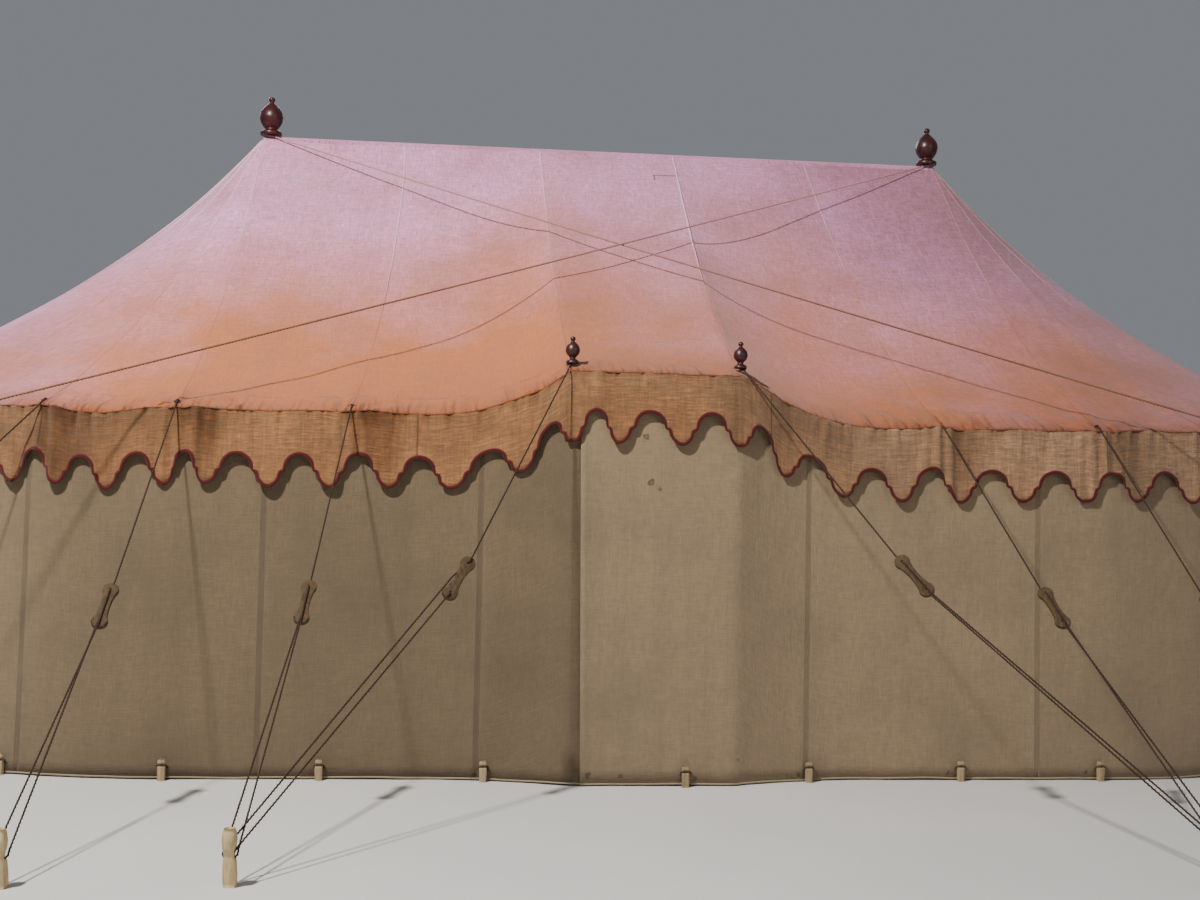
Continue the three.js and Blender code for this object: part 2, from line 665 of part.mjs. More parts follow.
function stormLine(side, sag) {
  const ring = solid(pinRing(side * UPRIGHT_X, 0, STORM_RING_Z, SPINDLE_R, STORM_R));
  const parts = [ring];
  for (const face of [-1, 1]) {
    const from = new THREE.Vector3(side * UPRIGHT_X, face * (SPINDLE_R + GAP + STORM_R), STORM_RING_Z);
    const stakeAt = new THREE.Vector3(-side * STORM_X, face * STORM_Y, STAKE_NECK_Z);
    const back = from.clone().sub(stakeAt).normalize();
    const to = stakeAt.clone().addScaledVector(back, STAKE_NECK_R + GAP + STORM_R);
    parts.push(stormTail(from, to, sag));
    parts.push(solid(ropeRing(stakeAt.x, stakeAt.y, stakeAt.z, STAKE_NECK_R + GAP, STORM_R)));
  }
  return geometryOf(joined(parts));
}

add("storm_line_left", stormLine(-1, LOW_STORM_SAG), hemp);
add("storm_line_right", stormLine(1, HIGH_STORM_SAG), hemp);
for (const [name, side, face] of [
  ["front_left", -1, -1], ["front_right", 1, -1], ["back_left", -1, 1], ["back_right", 1, 1],
]) {
  add(`storm_stake_${name}`, stake(side * STORM_X, face * STORM_Y), stakeWood);
}

export default tent;
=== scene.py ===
import math

import bmesh
import bpy
import numpy as np
from mathutils import Matrix, Vector, noise


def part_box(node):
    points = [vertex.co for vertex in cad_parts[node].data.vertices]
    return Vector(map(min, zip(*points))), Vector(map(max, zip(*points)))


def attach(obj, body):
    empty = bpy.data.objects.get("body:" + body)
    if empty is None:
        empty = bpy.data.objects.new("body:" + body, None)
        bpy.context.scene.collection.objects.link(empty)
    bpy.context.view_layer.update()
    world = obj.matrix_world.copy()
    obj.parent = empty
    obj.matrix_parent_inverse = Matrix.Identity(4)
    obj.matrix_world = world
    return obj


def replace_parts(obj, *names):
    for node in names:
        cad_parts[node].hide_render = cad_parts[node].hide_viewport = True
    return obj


# Headquarters tent: the cloth, ropes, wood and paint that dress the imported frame.
# Metres, +Z up, the origin on the ground under the middle of the ridge, the door facing -Y.

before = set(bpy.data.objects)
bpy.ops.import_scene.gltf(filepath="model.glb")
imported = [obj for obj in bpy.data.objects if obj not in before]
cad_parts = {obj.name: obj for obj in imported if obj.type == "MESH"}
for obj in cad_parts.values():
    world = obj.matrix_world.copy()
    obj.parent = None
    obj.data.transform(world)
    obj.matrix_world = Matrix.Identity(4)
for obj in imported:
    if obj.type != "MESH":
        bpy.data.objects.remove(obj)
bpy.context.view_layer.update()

# Driving sizes, the same as the frame's
EAVE_HALF = 2.120
ROOF_CLOTH = 0.006
FINIAL_R = 0.068
PORCH_Z = 1.830
RIDGE_HALF = 2.085
LIFT_REACH = 0.650
DOOR_HALF = 0.381
SEAM_INNER = 0.415
SEAM_OUTER = 1.245
SEAM_OUTER_EAVE = 1.360
GORES = 12
SAG = 0.101
SAG_SKEW = -0.039
END_SAG = 0.12
END_SAG_SKEW = 0.12
VALANCE_DROP = 0.340
SCALLOP_RISE = 0.140
SCALLOP_PITCH = 0.275
VALANCE_FLARE = 0.022
WALL_INSET = 0.018
WALL_BASE_OUT = 0.025
FLAP_LEFT = -0.330
FLAP_RIGHT = 0.660
FLAP_LAP = 0.0055
SLIDER_HALF = 0.078
SLIDER_END_R = 0.028
SLIDER_WAIST = 0.015
SLIDER_THICK = 0.020
SLIDER_DROOP = 0.12
STAKE_NECK_Z = 0.116
END_STAKE_REACH = 3.900
STORM_X = 7.000
STORM_Y = 5.250
GUY_R = 0.004
STORM_R = 0.0048

# Sizes that the frame gives
RIDGE_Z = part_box("roof_back")[1].z
EAVE_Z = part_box("roof_back")[0].z + ROOF_CLOTH
HALF_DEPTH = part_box("roof_back")[1].y
END_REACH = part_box("roof_end_right")[1].x - EAVE_HALF
PORCH_REACH = -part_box("roof_porch")[0].y
FINIAL_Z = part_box("finial_left")[0].z
UPRIGHT_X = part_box("finial_right")[1].x - FINIAL_R
DOOR_FINIAL_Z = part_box("door_finial_left")[0].z
DOOR_POLE_Y = (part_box("door_finial_left")[0].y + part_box("door_finial_left")[1].y) / 2

# How thick the cloths are, and how closely the meshes follow them
CANVAS = 0.0015
TAPE = 0.001
BREADTH_COLUMNS = 24
GORE_COLUMNS = 18
ROOF_ROWS = 64
LOBE_COLUMNS = 34
WALL_STEP = 0.024
WALL_ROWS = 26
LAY_STEP = 0.008
FAR_LAY_STEP = 0.012
KNOT_STEP = 0.005
STAKE_RING = 16
FINIAL_RING = 48

# The uv of each breadth of cloth is this far from the last one's, so that its weave and tone differ
BREADTH_UV = 10.0
TAU = 2 * math.pi
UP = np.array([0, 0, 1.0])


# Numbers along lines and over sheets

def ease(value, low, high):
    """0 below low, 1 above high, and a smooth rise between them."""
    share = np.clip((np.asarray(value, float) - low) / (high - low), 0, 1)
    return share * share * (3 - 2 * share)


def bell(away, width):
    """1 at no distance, fading in a soft bell over a width."""
    return np.exp(-(away / width) ** 2)


def unit(vectors):
    length = np.linalg.norm(vectors, axis=-1, keepdims=True)
    return vectors / np.maximum(length, 1e-9)


def run_along(path):
    """How far along a path each of its points is."""
    return np.concatenate([[0], np.cumsum(np.linalg.norm(np.diff(path, axis=0), axis=1))])


def closed(rows):
    """Rows that go round, with the first one again at their end."""
    return np.concatenate([rows, rows[:1]])


def between_rows(places, marks, rows):
    """The rows at some places, found between the rows that lie at the marks."""
    return np.stack([np.interp(places, marks, rows[:, k]) for k in range(rows.shape[1])], axis=-1)


def noise_at(points, scale, seed=0.0):
    """Smooth noise from about -1 to 1 at every point of an array whose last axis is x, y, z."""
    flat = points.reshape(-1, 3) * np.asarray(scale, float) + seed
    return np.array([noise.noise(p) for p in flat]).reshape(points.shape[:-1])


def noise_over(across, down, seed):
    """The same over a sheet, at each place across it and down it."""
    across, down = np.broadcast_arrays(across, down)
    return noise_at(np.stack([across, down, 0 * down], axis=-1), 1.0, seed)


def noise_along(places, scale, seed=0.0):
    """The same along a line."""
    return noise_over(places * scale, 0 * places, seed)


# Meshes from arrays of points

def corners_of(grid):
    """The four corners of every square of a grid."""
    return np.stack([grid[:-1, :-1], grid[:-1, 1:], grid[1:, 1:], grid[1:, :-1]], axis=2)


def grid_faces(cols, rows, wrap_cols=False, wrap_rows=False):
    index = np.arange(cols * rows).reshape(cols, rows)
    if wrap_cols:
        index = closed(index)
    if wrap_rows:
        index = closed(index.T).T
    return corners_of(index).reshape(-1, 4)


def grid_uv(u, v, cols, rows, wrap_cols=False, wrap_rows=False):
    """Face corner uv for a grid from its u and v arrays, which have one more entry where it wraps."""
    shape = (cols + wrap_cols, rows + wrap_rows)
    both = np.stack([np.broadcast_to(u, shape), np.broadcast_to(v, shape)], axis=-1)
    return corners_of(both).reshape(-1, 2)


def make_piece(name, points, faces, material, uv, soil=None):
    """A piece that rides on the part: uv has a pair for each face corner, soil a value for each point."""
    mesh = bpy.data.meshes.new(name)
    mesh.from_pydata(np.asarray(points).reshape(-1, 3).tolist(), [], [list(f) for f in faces])
    layer = mesh.uv_layers.new(name="cloth")
    layer.data.foreach_set("uv", np.asarray(uv, np.float32).ravel())
    if soil is not None:
        layer = mesh.attributes.new("soil", "FLOAT", "POINT")
        layer.data.foreach_set("value", np.asarray(soil, np.float32).ravel())
    mesh.polygons.foreach_set("use_smooth", [True] * len(mesh.polygons))
    mesh.materials.append(material)
    mesh.update()
    piece = bpy.data.objects.new(name, mesh)
    bpy.context.scene.collection.objects.link(piece)
    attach(piece, "root")
    return piece


def sheet_piece(name, points, u, v, material, wrap=(False, False), soil=None, flip=False):
    """A piece that is one grid of points."""
    cols, rows = points.shape[:2]
    faces = grid_faces(cols, rows, *wrap)
    return make_piece(name, points, faces[:, ::-1] if flip else faces, material,
                      grid_uv(u, v, cols, rows, *wrap), soil)


def thicken(piece, thickness):
    cloth = piece.modifiers.new("cloth thickness", "SOLIDIFY")
    cloth.thickness = thickness
    cloth.offset = -1


class Parts:
    """Several solids gathered into one mesh, each with its own face corners and uv."""

    def __init__(self):
        self.points, self.faces, self.uv, self.soil, self.count = [], [], [], [], 0

    def add(self, points, faces, uv, soil=0.0):
        points = np.asarray(points, float).reshape(-1, 3)
        self.points.append(points)
        self.faces += [[self.count + k for k in face] for face in faces]
        self.uv.append(np.asarray(uv, float).reshape(-1, 2))
        self.soil.append(np.broadcast_to(soil, len(points)))
        self.count += len(points)

    def piece(self, name, material, slot):
        return make_piece(name, np.concatenate(self.points), self.faces, material,
                          np.concatenate(self.uv), np.concatenate(self.soil))


def closed_rings(parts, rings, run, soil=0.0, flip=False):
    """Rings of points along a closed solid such as a rope or a stake; run has the v of each ring."""
    count, ring = rings.shape[:2]
    faces = grid_faces(count, ring, wrap_rows=True).tolist()
    faces += [list(range(ring)), [count * ring - 1 - k for k in range(ring)]]
    shares = np.arange(ring) / ring
    ends = [np.stack([shares, 0 * shares], axis=1), np.stack([shares[::-1], 0 * shares + run[-1]], axis=1)]
    uv = grid_uv(np.linspace(0, 1, ring + 1)[None], run[:, None], count, ring, wrap_rows=True)
    parts.add(rings, [face[::-1] for face in faces] if flip else faces, np.concatenate([uv] + ends),
              np.repeat(np.broadcast_to(soil, count), ring))


def tube(parts, path, normals, binormals, section, soil=0.0):
    """A closed tube: section is an array of (along normal, along binormal) for one step, or for each."""
    section = np.broadcast_to(section, (len(path),) + np.shape(section)[-2:])
    rings = path[:, None] + section[..., :1] * normals[:, None] + section[..., 1:] * binormals[:, None]
    closed_rings(parts, rings, run_along(path), soil)


def carried_frames(path):
    """Directions across a path that don't spin as it turns."""
    tangents = unit(np.gradient(path, axis=0))
    start = np.cross(tangents[0], UP)
    if np.linalg.norm(start) < 0.1:
        start = np.cross(tangents[0], [0.0, 1.0, 0.0])
    normals = [start / np.linalg.norm(start)]
    for tangent in tangents[1:]:
        normal = normals[-1] - tangent * (normals[-1] @ tangent)
        normals.append(normal / np.linalg.norm(normal))
    normals = np.array(normals)
    return normals, np.cross(tangents, normals)


def strand(parts, path, section):
    """A tube along any path."""
    path = np.asarray(path)
    tube(parts, path, *carried_frames(path), section)


# The shape of the roof: rays from the ridge to the eave, the same as the frame's

def rays(side, marks):
    """Tops, feet and outward directions of the rays of one side, at ridge places or at angles."""
    marks = np.asarray(marks, float)
    tops, feet, outs = (np.zeros((len(marks), 3)) for _ in range(3))
    tops[:, 2] = RIDGE_Z
    feet[:, 2] = EAVE_Z
    if side == "front":
        stations = [0, SEAM_INNER, SEAM_OUTER, RIDGE_HALF]
        x = np.sign(marks) * np.interp(np.abs(marks), stations, [0, DOOR_HALF, SEAM_OUTER_EAVE, EAVE_HALF])
        share = np.clip(1 - (np.abs(x) - DOOR_HALF) / LIFT_REACH, 0, 1) ** 2
        tops[:, 0] = marks
        feet[:, 0] = x
        feet[:, 1] = -(HALF_DEPTH + (PORCH_REACH - HALF_DEPTH) * share)
        feet[:, 2] += (PORCH_Z - EAVE_Z) * share
        outs[:, 1] = -1
    elif side == "back":
        tops[:, 0] = marks
        feet[:, 0] = marks * EAVE_HALF / RIDGE_HALF
        feet[:, 1] = HALF_DEPTH
        outs[:, 1] = 1
    else:
        end = 1 if side == "right" else -1
        tops[:, 0] = end * RIDGE_HALF
        feet[:, 0] = end * (EAVE_HALF + END_REACH * np.sin(marks))
        feet[:, 1] = -HALF_DEPTH * np.cos(marks)
        outs[:, 0] = end * np.sin(marks) / END_REACH
        outs[:, 1] = -np.cos(marks) / HALF_DEPTH
        outs = unit(outs)
    return tops, feet, outs


def hung(tops, feet, shares):
    """Points on the hollow curve of the cloth, for every ray and share of the way down."""
    t = np.asarray(shares, float)[None, :]
    drop = (tops[:, 2] - feet[:, 2])[:, None]
    points = tops[:, None] + (feet - tops)[:, None] * t[..., None]
    round_end = (np.clip(np.abs(feet[:, :1]) - EAVE_HALF, 0, None) / END_REACH) ** 2
    depth = SAG + (END_SAG - SAG) * round_end
    skew = SAG_SKEW + (END_SAG_SKEW - SAG_SKEW) * round_end
    points[..., 2] = feet[:, 2, None] + drop * (1 - t - 4 * t * (1 - t) * (depth + skew * (0.5 - t)))
    return points


SEAM_MARKS = [-RIDGE_HALF, -SEAM_OUTER, -SEAM_INNER, SEAM_INNER, SEAM_OUTER, RIDGE_HALF]
GORE_MARKS = list(np.linspace(0, math.pi, GORES + 1))
SIDE_MARKS = [("front", SEAM_MARKS), ("right", GORE_MARKS),
              ("back", SEAM_MARKS[::-1]), ("left", GORE_MARKS[::-1])]
BREADTHS = [(side, marks[k], marks[k + 1]) for side, marks in SIDE_MARKS for k in range(len(marks) - 1)]

# Breadth boundaries are counted from the front left corner counterclockwise.
# These are the seams over the door poles, the seam that bows, all the seams of the front and the back,
# and the boundaries that carry a guy line.
DOOR_SEAMS = (2, 3)
BOWED_SEAM = 1
STRAIGHT_SEAMS = [0, 1, 2, 3, 4, 17, 18, 19, 20, 21, 5, 22]
EAVE_GUYS = [0, 1, 4, 5] + list(range(6, 17, 2)) + list(range(17, 23)) + list(range(23, 34, 2))


class Roof:
    """The roof cloth as a grid: columns go round the tent, rows go down from the ridge."""

    def __init__(self):
        lines, shares, self.first = [], [], [0]
        for side, start, end in BREADTHS:
            steps = GORE_COLUMNS if side in ("left", "right") else BREADTH_COLUMNS
            share = np.arange(steps) / steps
            lines.append(rays(side, start + (end - start) * share))
            shares.append(share)
            self.first.append(self.first[-1] + steps)
        tops, feet, self.outs = (np.concatenate(rows) for rows in zip(*lines))
        self.count = len(tops)
        self.share = np.concatenate(shares)[:, None]
        self.breadth = np.repeat(np.arange(len(BREADTHS)), np.diff(self.first))
        even = np.linspace(0, 1, ROOF_ROWS + 1)
        self.down = 0.6 * even + 0.4 * (0.5 - 0.5 * np.cos(math.pi * even))
        base = hung(tops, feet, self.down)
        self.base_edge = base[:, -1]
        self.along = run_along(closed(self.base_edge))
        self.length = self.along[-1]
        self.normals = self.normals_of(base)
        self.points = self.shaped(base)
        self.edge = self.points[:, -1]

    def normals_of(self, points):
        across = np.roll(points, -1, axis=0) - np.roll(points, 1, axis=0)
        normals = unit(np.cross(np.gradient(points, axis=1), across))
        normals[:, 0] = UP
        return normals

    def guy_place(self, boundary):
        return self.along[self.first[boundary]]

    def gap_to(self, places, spot):
        """Signed distance along the eave from a spot, the short way round."""
        return (places - spot + self.length / 2) % self.length - self.length / 2

    def beside(self, boundary):
        """Signed distance along the eave from a seam's foot to each column."""
        return self.gap_to(self.along[:-1], self.guy_place(boundary))[:, None]

    def shaped(self, base):
        """The cloth as it hangs: sags between seams, ripples, and folds that its ropes and poles draw."""
        down = self.down[None]
        slope = np.linalg.norm(base - base[:, -1:], axis=2)
        breadth_sag = 0.007 + 0.004 * np.sin(2.4 * self.breadth + 1.0)
        width = np.linalg.norm(base[self.first[1:-1] + [0]] - base[self.first[:-1]], axis=2)[self.breadth]
        bulge = 4 * self.share * (1 - self.share)
        lift = -breadth_sag[:, None] * bulge * np.sin(math.pi * down) ** 0.8 * width / 0.8
        calm = np.sin(math.pi * down) ** 0.6
        lift += 0.009 * noise_at(base, 0.9, 3.1) * calm
        lift += 0.0035 * noise_at(base, 3.0, 7.7) * calm
        near_eave = np.exp(-slope / 0.42)
        round_eave = self.along[:-1, None] * 5.2
        lift += 0.0085 * noise_over(round_eave, slope * 0.9, 11.3) * near_eave
        lift += 0.0045 * noise_over(round_eave * 2.3, slope * 0.9 * 1.6, 5.9) * near_eave
        for boundary in EAVE_GUYS:
            lift += self.drawn_folds(slope, boundary, count=9, depth=0.0125, reach=0.38)
        for boundary in DOOR_SEAMS:
            lift += self.drawn_folds(slope, boundary, count=7, depth=0.0075, reach=0.42)
            stretched = np.exp(-np.abs(self.beside(boundary) * down) / 0.07)
            lift += 0.010 * stretched * np.sin(math.pi * down) ** 0.7
        points = base + lift[..., None] * self.normals
        self.dip = self.eave_dip()
        points[..., 2] -= self.dip[:, None] * ease(down, 0.72, 1.0)
        for side in (-1, 1):
            away = np.hypot(base[..., 0] - side * DOOR_HALF, base[..., 1] - DOOR_POLE_Y)
            points[..., 2] += 0.005 * np.exp(-away / 0.05)
        points[..., 0] += 0.034 * bell(self.beside(BOWED_SEAM), 0.45) * np.sin(math.pi * down ** 0.6)
        points[:, 0] = base[:, 0]
        return points

    def drawn_folds(self, slope, boundary, count, depth, reach):
        """Folds that fan out from a place on the eave where a rope or a pole pulls."""
        aside = self.beside(boundary)
        far = np.hypot(aside, slope)
        angle = np.arctan2(aside, slope + 0.02)
        return depth * np.cos(count * angle + boundary) * np.exp(-far / reach) * (1 - np.exp(-far / 0.05))

    def eave_dip(self):
        """The eave hangs a little lower between the places that are held, most of all at the left end."""
        held = sorted(EAVE_GUYS + list(DOOR_SEAMS))
        places = [self.guy_place(k) for k in held] + [self.length]
        dip = np.zeros(self.count)
        for start, end in zip(places, places[1:]):
            share = (self.along[:-1] - start) / (end - start)
            inside = (share >= 0) & (share <= 1)
            middle = int(np.searchsorted(self.along, (start + end) / 2)) % self.count
            depth = 0.004 + 0.028 * ease(-self.base_edge[middle, 0], 0.9, 2.8)
            dip += np.where(inside, depth * (4 * share * (1 - share)).clip(0) ** 1.3, 0)
        angle = TAU * self.along[:-1] / self.length
        ring = 2.0 * np.stack([np.cos(angle), np.sin(angle), 0 * angle], axis=1)
        return dip + 0.002 * noise_at(ring, 4.0, 2.2)

    def dip_under(self, points):
        """How much lower the eave hangs over points at its foot."""
        gaps = np.linalg.norm(self.base_edge[None, :, :2] - points[:, None, :2], axis=2)
        order = np.argsort(gaps, axis=1)[:, :2]
        near = np.take_along_axis(gaps, order, axis=1)
        return (self.dip[order] * near[:, ::-1]).sum(axis=1) / near.sum(axis=1)

    def seam_line(self, boundary, rows):
        """Points and normals down one seam, at shares from the ridge to the eave."""
        column = self.first[boundary]
        return (between_rows(rows, self.down, self.points[column]),
                unit(between_rows(rows, self.down, self.normals[column])))

    def at_eave(self, places):
        """Edge points and outward directions at places along the eave."""
        places = np.asarray(places) % self.length
        return (between_rows(places, self.along, closed(self.edge)),
                unit(between_rows(places, self.along, closed(self.outs))))

    def above_eave(self, places, up):
        """Points and normals on the cloth at places along the eave, a distance up the slope."""
        places = np.asarray(places) % self.length
        up = np.broadcast_to(up, places.shape)
        column = np.searchsorted(self.along, places, side="right") - 1
        share = ((places - self.along[column]) / (self.along[column + 1] - self.along[column]))[:, None]
        sides = []
        for c in (column % self.count, (column + 1) % self.count):
            slope = np.linalg.norm(np.diff(self.points[c], axis=1), axis=2)
            rise = np.cumsum(slope[:, ::-1], axis=1)[:, ::-1]
            rise = np.concatenate([rise, np.zeros((len(c), 1))], axis=1)
            both = np.concatenate([self.points[c], self.normals[c]], axis=2)
            sides.append(np.array([between_rows(-up[i], -rise[i], both[i]) for i in range(len(c))]))
        found = sides[0] * (1 - share) + sides[1] * share
        return found[:, :3], unit(found[:, 3:])

    def under_guy(self, boundary, up):
        """The point and normal of the cloth under a guy line, a distance up from the eave."""
        at, normal = self.above_eave(np.array([self.guy_place(boundary)]), up)
        return at[0], normal[0]


roof = Roof()


# Materials

def rgb(red, green, blue):
    """A colour given as it looks on screen, from 0 to 255, as the shader wants it."""
    def linear(c):
        c = c / 255
        return c / 12.92 if c <= 0.04045 else ((c + 0.055) / 1.055) ** 2.4
    return linear(red), linear(green), linear(blue), 1.0


class Surface:
    """A material with one principled shader, and the steps that its colour and bumps are worked out by."""

    def __init__(self, name, roughness, **numbers):
        self.material = bpy.data.materials.new(name)
        self.material.use_nodes = True
        self.tree = self.material.node_tree
        self.tree.nodes.clear()
        self.shader = self.node("BsdfPrincipled", {"Roughness": roughness})
        for key, value in numbers.items():
            self.shader.inputs[key.replace("_", " ")].default_value = value
        self.node("OutputMaterial", {0: self.shader.outputs[0]})
        self.place = self.node("TexCoord").outputs["Object"]
        self.weave = self.node("UVMap", uv_map="cloth").outputs[0]

    def node(self, kind, inputs=None, **settings):
        """A shader node; an input is set from a value, or linked from a socket."""
        node = self.tree.nodes.new("ShaderNode" + kind)
        for key, value in settings.items():
            setattr(node, key, value)
        for key, value in (inputs or {}).items():
            if isinstance(value, bpy.types.NodeSocket):
                self.tree.links.new(value, node.inputs[key])
            else:
                node.inputs[key].default_value = value
        return node

    def mix(self, factor, first, second, blend="MIX"):
        inputs = {0: factor, 6: first, 7: second}
        return self.node("Mix", inputs, data_type="RGBA", blend_type=blend).outputs[2]

    def calc(self, operation, first, second=0.5):
        return self.node("Math", {0: first, 1: second}, operation=operation).outputs[0]

    def ramp(self, value, low, high, to_low=0.0, to_high=1.0):
        return self.node("MapRange", {"Value": value, "From Min": low, "From Max": high,
                                      "To Min": to_low, "To Max": to_high}).outputs[0]

    def axis(self, vector, name):
        return self.node("SeparateXYZ", {0: vector}).outputs[name]

    def cloud(self, where, scale, detail=3.0, stretch=(1, 1, 1), seed=0.0):
        """Noise from 0 to 1 over a place or a weave, stretched along its axes."""
        moved = self.node("Mapping", {"Vector": where, "Location": (seed, seed * 0.7, seed * 1.3),
                                      "Scale": tuple(scale * s for s in stretch)})
        return self.node("TexNoise", {"Vector": moved.outputs[0], "Scale": 1.0, "Detail": detail,
                                      "Roughness": 0.55}).outputs["Fac"]

    def finish(self, colour, bumps):
        """The finished material, from its colour and its bumps: pairs of a height and its metres."""
        self.tree.links.new(colour, self.shader.inputs["Base Color"])
        below = {}
        for height, metres in bumps:
            bump = self.node("Bump", {"Height": height, "Distance": metres, "Strength": 1.0, **below})
            below = {"Normal": bump.outputs[0]}
        self.tree.links.new(below["Normal"], self.shader.inputs["Normal"])
        return self.material


def linen(name, pale, warm, dark, warm_below, pale_above, streaks=0.1, grime=0.3, panels=0.12, slub=0.3,
          fineness=1.0, crepe=0.0, stains_and_hole_shade=(), darkening=rgb(144, 126, 98), paler_towards=()):
    """Old linen: warmer low down and paler high up, on the roof partly painted light, blotched and streaked,
    with slubs both ways, spots, and soil and painted shade in its folds.
    """
    cloth = Surface(name, 0.92, Sheen_Weight=0.12, Sheen_Roughness=0.6, Specular_IOR_Level=0.15)
    place, weave, cloud, ramp = cloth.place, cloth.weave, cloth.cloud, cloth.ramp

    # The broad tone by height and across x: partly the cloth's own tone, partly painted light
    blotches = cloud(place, 0.75, 4.0, seed=2.0)
    height = cloth.calc("ADD", cloth.axis(place, "Z"), ramp(blotches, 0.3, 0.7, -0.4, 0.4))
    for near, far, amount in paler_towards:
        height = cloth.calc("ADD", height, ramp(cloth.axis(place, "X"), near, far, 0.0, amount))
    colour = cloth.mix(ramp(height, warm_below, pale_above), warm, pale)

    # Darker breadths, patches, streaks, mottle and threads
    breadth = cloth.calc("FLOOR", cloth.calc("DIVIDE", cloth.axis(weave, "X"), BREADTH_UV), 0.0)
    tone = cloth.node("TexWhiteNoise", {"W": breadth}, noise_dimensions="1D").outputs["Value"]
    ripple = cloud(weave, 1.0, 3.0, (20.0, 120.0, 1.0), 8.0)
    slubs = cloth.calc("ADD", cloud(weave, fineness, 2.0, (9.0, 105.0, 1.0), 1.0),
                       cloud(weave, fineness, 2.0, (105.0, 9.0, 1.0), 6.0))
    fine = cloth.calc("ADD", cloud(weave, 1.0, 1.0, (40.0, 520.0, 1.0), 1.0),
                      cloud(weave, 1.0, 1.0, (520.0, 40.0, 1.0), 2.0))
    shades = [(tone, 0.0, 1.0, 0.0, panels),
              (cloud(place, 1.9, 5.0, seed=9.0), 0.46, 0.72, 0.0, grime),
              (cloud(weave, 1.0, 4.0, (13.0, 0.7, 1.0), 4.0), 0.44, 0.70, 0.0, streaks),
              (cloud(place, 38.0, 3.0, seed=6.0), 0.38, 0.66, 0.0, slub * 0.45),
              (ripple, 0.42, 0.62, crepe * 0.5, 0.0),
              (slubs, 0.78, 1.22, slub, 0.0),
              (fine, 0.8, 1.2, slub * 0.6, 0.0)]
    for value, low, high, at_low, at_high in shades:
        colour = cloth.mix(ramp(value, low, high, at_low, at_high), colour, dark)

    # Small spots, the soil and painted shade that each point carries, and stains with the painted shade of
    # holes
    cells = cloth.node("TexVoronoi", {"Vector": place, "Scale": 2.6}).outputs["Distance"]
    ragged = cloth.calc("ADD", cells, ramp(cloud(place, 60.0, 2.0), 0.3, 0.7, -0.012, 0.012))
    colour = cloth.mix(ramp(ragged, 0.012, 0.026, 0.5, 0.0), colour, rgb(96, 62, 40))
    soil = cloth.node("Attribute", attribute_name="soil").outputs["Fac"]
    colour = cloth.mix(soil, colour, cloth.mix(1.0, colour, darkening, "MULTIPLY"))
    frayed = ramp(cloud(place, 70.0, 2.0), 0.3, 0.7, -0.006, 0.006)
    # Dark rings for the stains, and painted shade for the holes
    for centre, size in stains_and_hole_shade:
        away = cloth.node("VectorMath", {0: place, 1: centre}, operation="DISTANCE").outputs["Value"]
        edge = cloth.calc("ADD", away, frayed)
        ring = cloth.calc("MULTIPLY", ramp(edge, size, size * 0.7), ramp(edge, 0.0, size * 0.8, 0.3, 0.8))
        colour = cloth.mix(ring, colour, rgb(58, 42, 28))

    bumps = [(fine, 0.0006), (slubs, 0.0012), (cloud(place, 5.0, 4.0, seed=5.0), 0.008),
             (cloud(weave, 1.0, 3.0, (26.0, 2.5, 1.0), 3.0), 0.002)]
    return cloth.finish(colour, bumps + [(ripple, 0.006 * crepe)] * (crepe > 0))


def stitched_tape(name, colour, thread, row=0.16, pitch=0.011):
    """Tape with one row of stitches, a share of the way across it and a pitch apart."""
    tape = Surface(name, 0.9, Sheen_Weight=0.15, Specular_IOR_Level=0.2)
    worn = tape.ramp(tape.cloud(tape.place, 22.0, 4.0), 0.35, 0.7)
    base = tape.mix(tape.calc("MULTIPLY", worn, 0.55), colour, thread)
    step = tape.calc("FRACT", tape.calc("DIVIDE", tape.axis(tape.weave, "Y"), pitch), 0.0)
    dash = tape.calc("MULTIPLY", tape.ramp(step, 0.12, 0.2), tape.ramp(step, 0.72, 0.62))
    gap = tape.calc("ABSOLUTE", tape.calc("SUBTRACT", tape.axis(tape.weave, "X"), row))
    marks = tape.calc("MULTIPLY", tape.ramp(gap, 0.06, 0.03), dash)
    fibre = tape.cloud(tape.place, 420.0, 2.0)
    return tape.finish(tape.mix(marks, base, thread), [(fibre, 0.0008), (worn, 0.0006), (marks, 0.001)])


def wood(name, pale, dark, grain_scale=1.0, roughness=0.7, worn=0.3):
    """Wood with its grain along Z, darker growth lines, and handled dirt."""
    timber = Surface(name, roughness, Specular_IOR_Level=0.35)
    grain = timber.cloud(timber.place, 60.0 * grain_scale, 4.0, (1, 1, 0.06))
    fine = timber.cloud(timber.place, 320.0 * grain_scale, 2.0, (1, 1, 0.04), 3.0)
    darkening = timber.ramp(timber.cloud(timber.place, 9.0, 5.0, seed=8.0), 0.42, 0.74)
    colour = timber.mix(timber.ramp(grain, 0.36, 0.66), dark, pale)
    colour = timber.mix(timber.ramp(fine, 0.35, 0.65, 0.35, 0.0), colour, dark)
    colour = timber.mix(timber.calc("MULTIPLY", darkening, worn), colour, rgb(92, 74, 52))
    return timber.finish(colour, [(grain, 0.0012), (fine, 0.0005), (darkening, 0.001)])


def rope_fibre(name, pale, dark, painted_light=None):
    """Laid rope: yarns run with the strands, dirty in patches, and paler high up if so, which is painted
    light.
    """
    rope = Surface(name, 0.95, Specular_IOR_Level=0.15, Sheen_Weight=0.1)
    yarn = rope.cloud(rope.weave, 1.0, 3.0, (30.0, 60.0, 1.0))
    darkening = rope.cloud(rope.place, 7.0, 4.0)
    colour = rope.mix(rope.ramp(yarn, 0.3, 0.7), dark, pale)
    colour = rope.mix(rope.ramp(darkening, 0.4, 0.75, 0.0, 0.6), colour, dark)
    # Painted light: the rope is paler high up, where it catches the lamps
    if painted_light:
        colour = rope.mix(rope.ramp(rope.axis(rope.place, "Z"), 2.2, 3.1, 0.0, 0.85), colour, painted_light)
    return rope.finish(colour, [(yarn, 0.0012)])


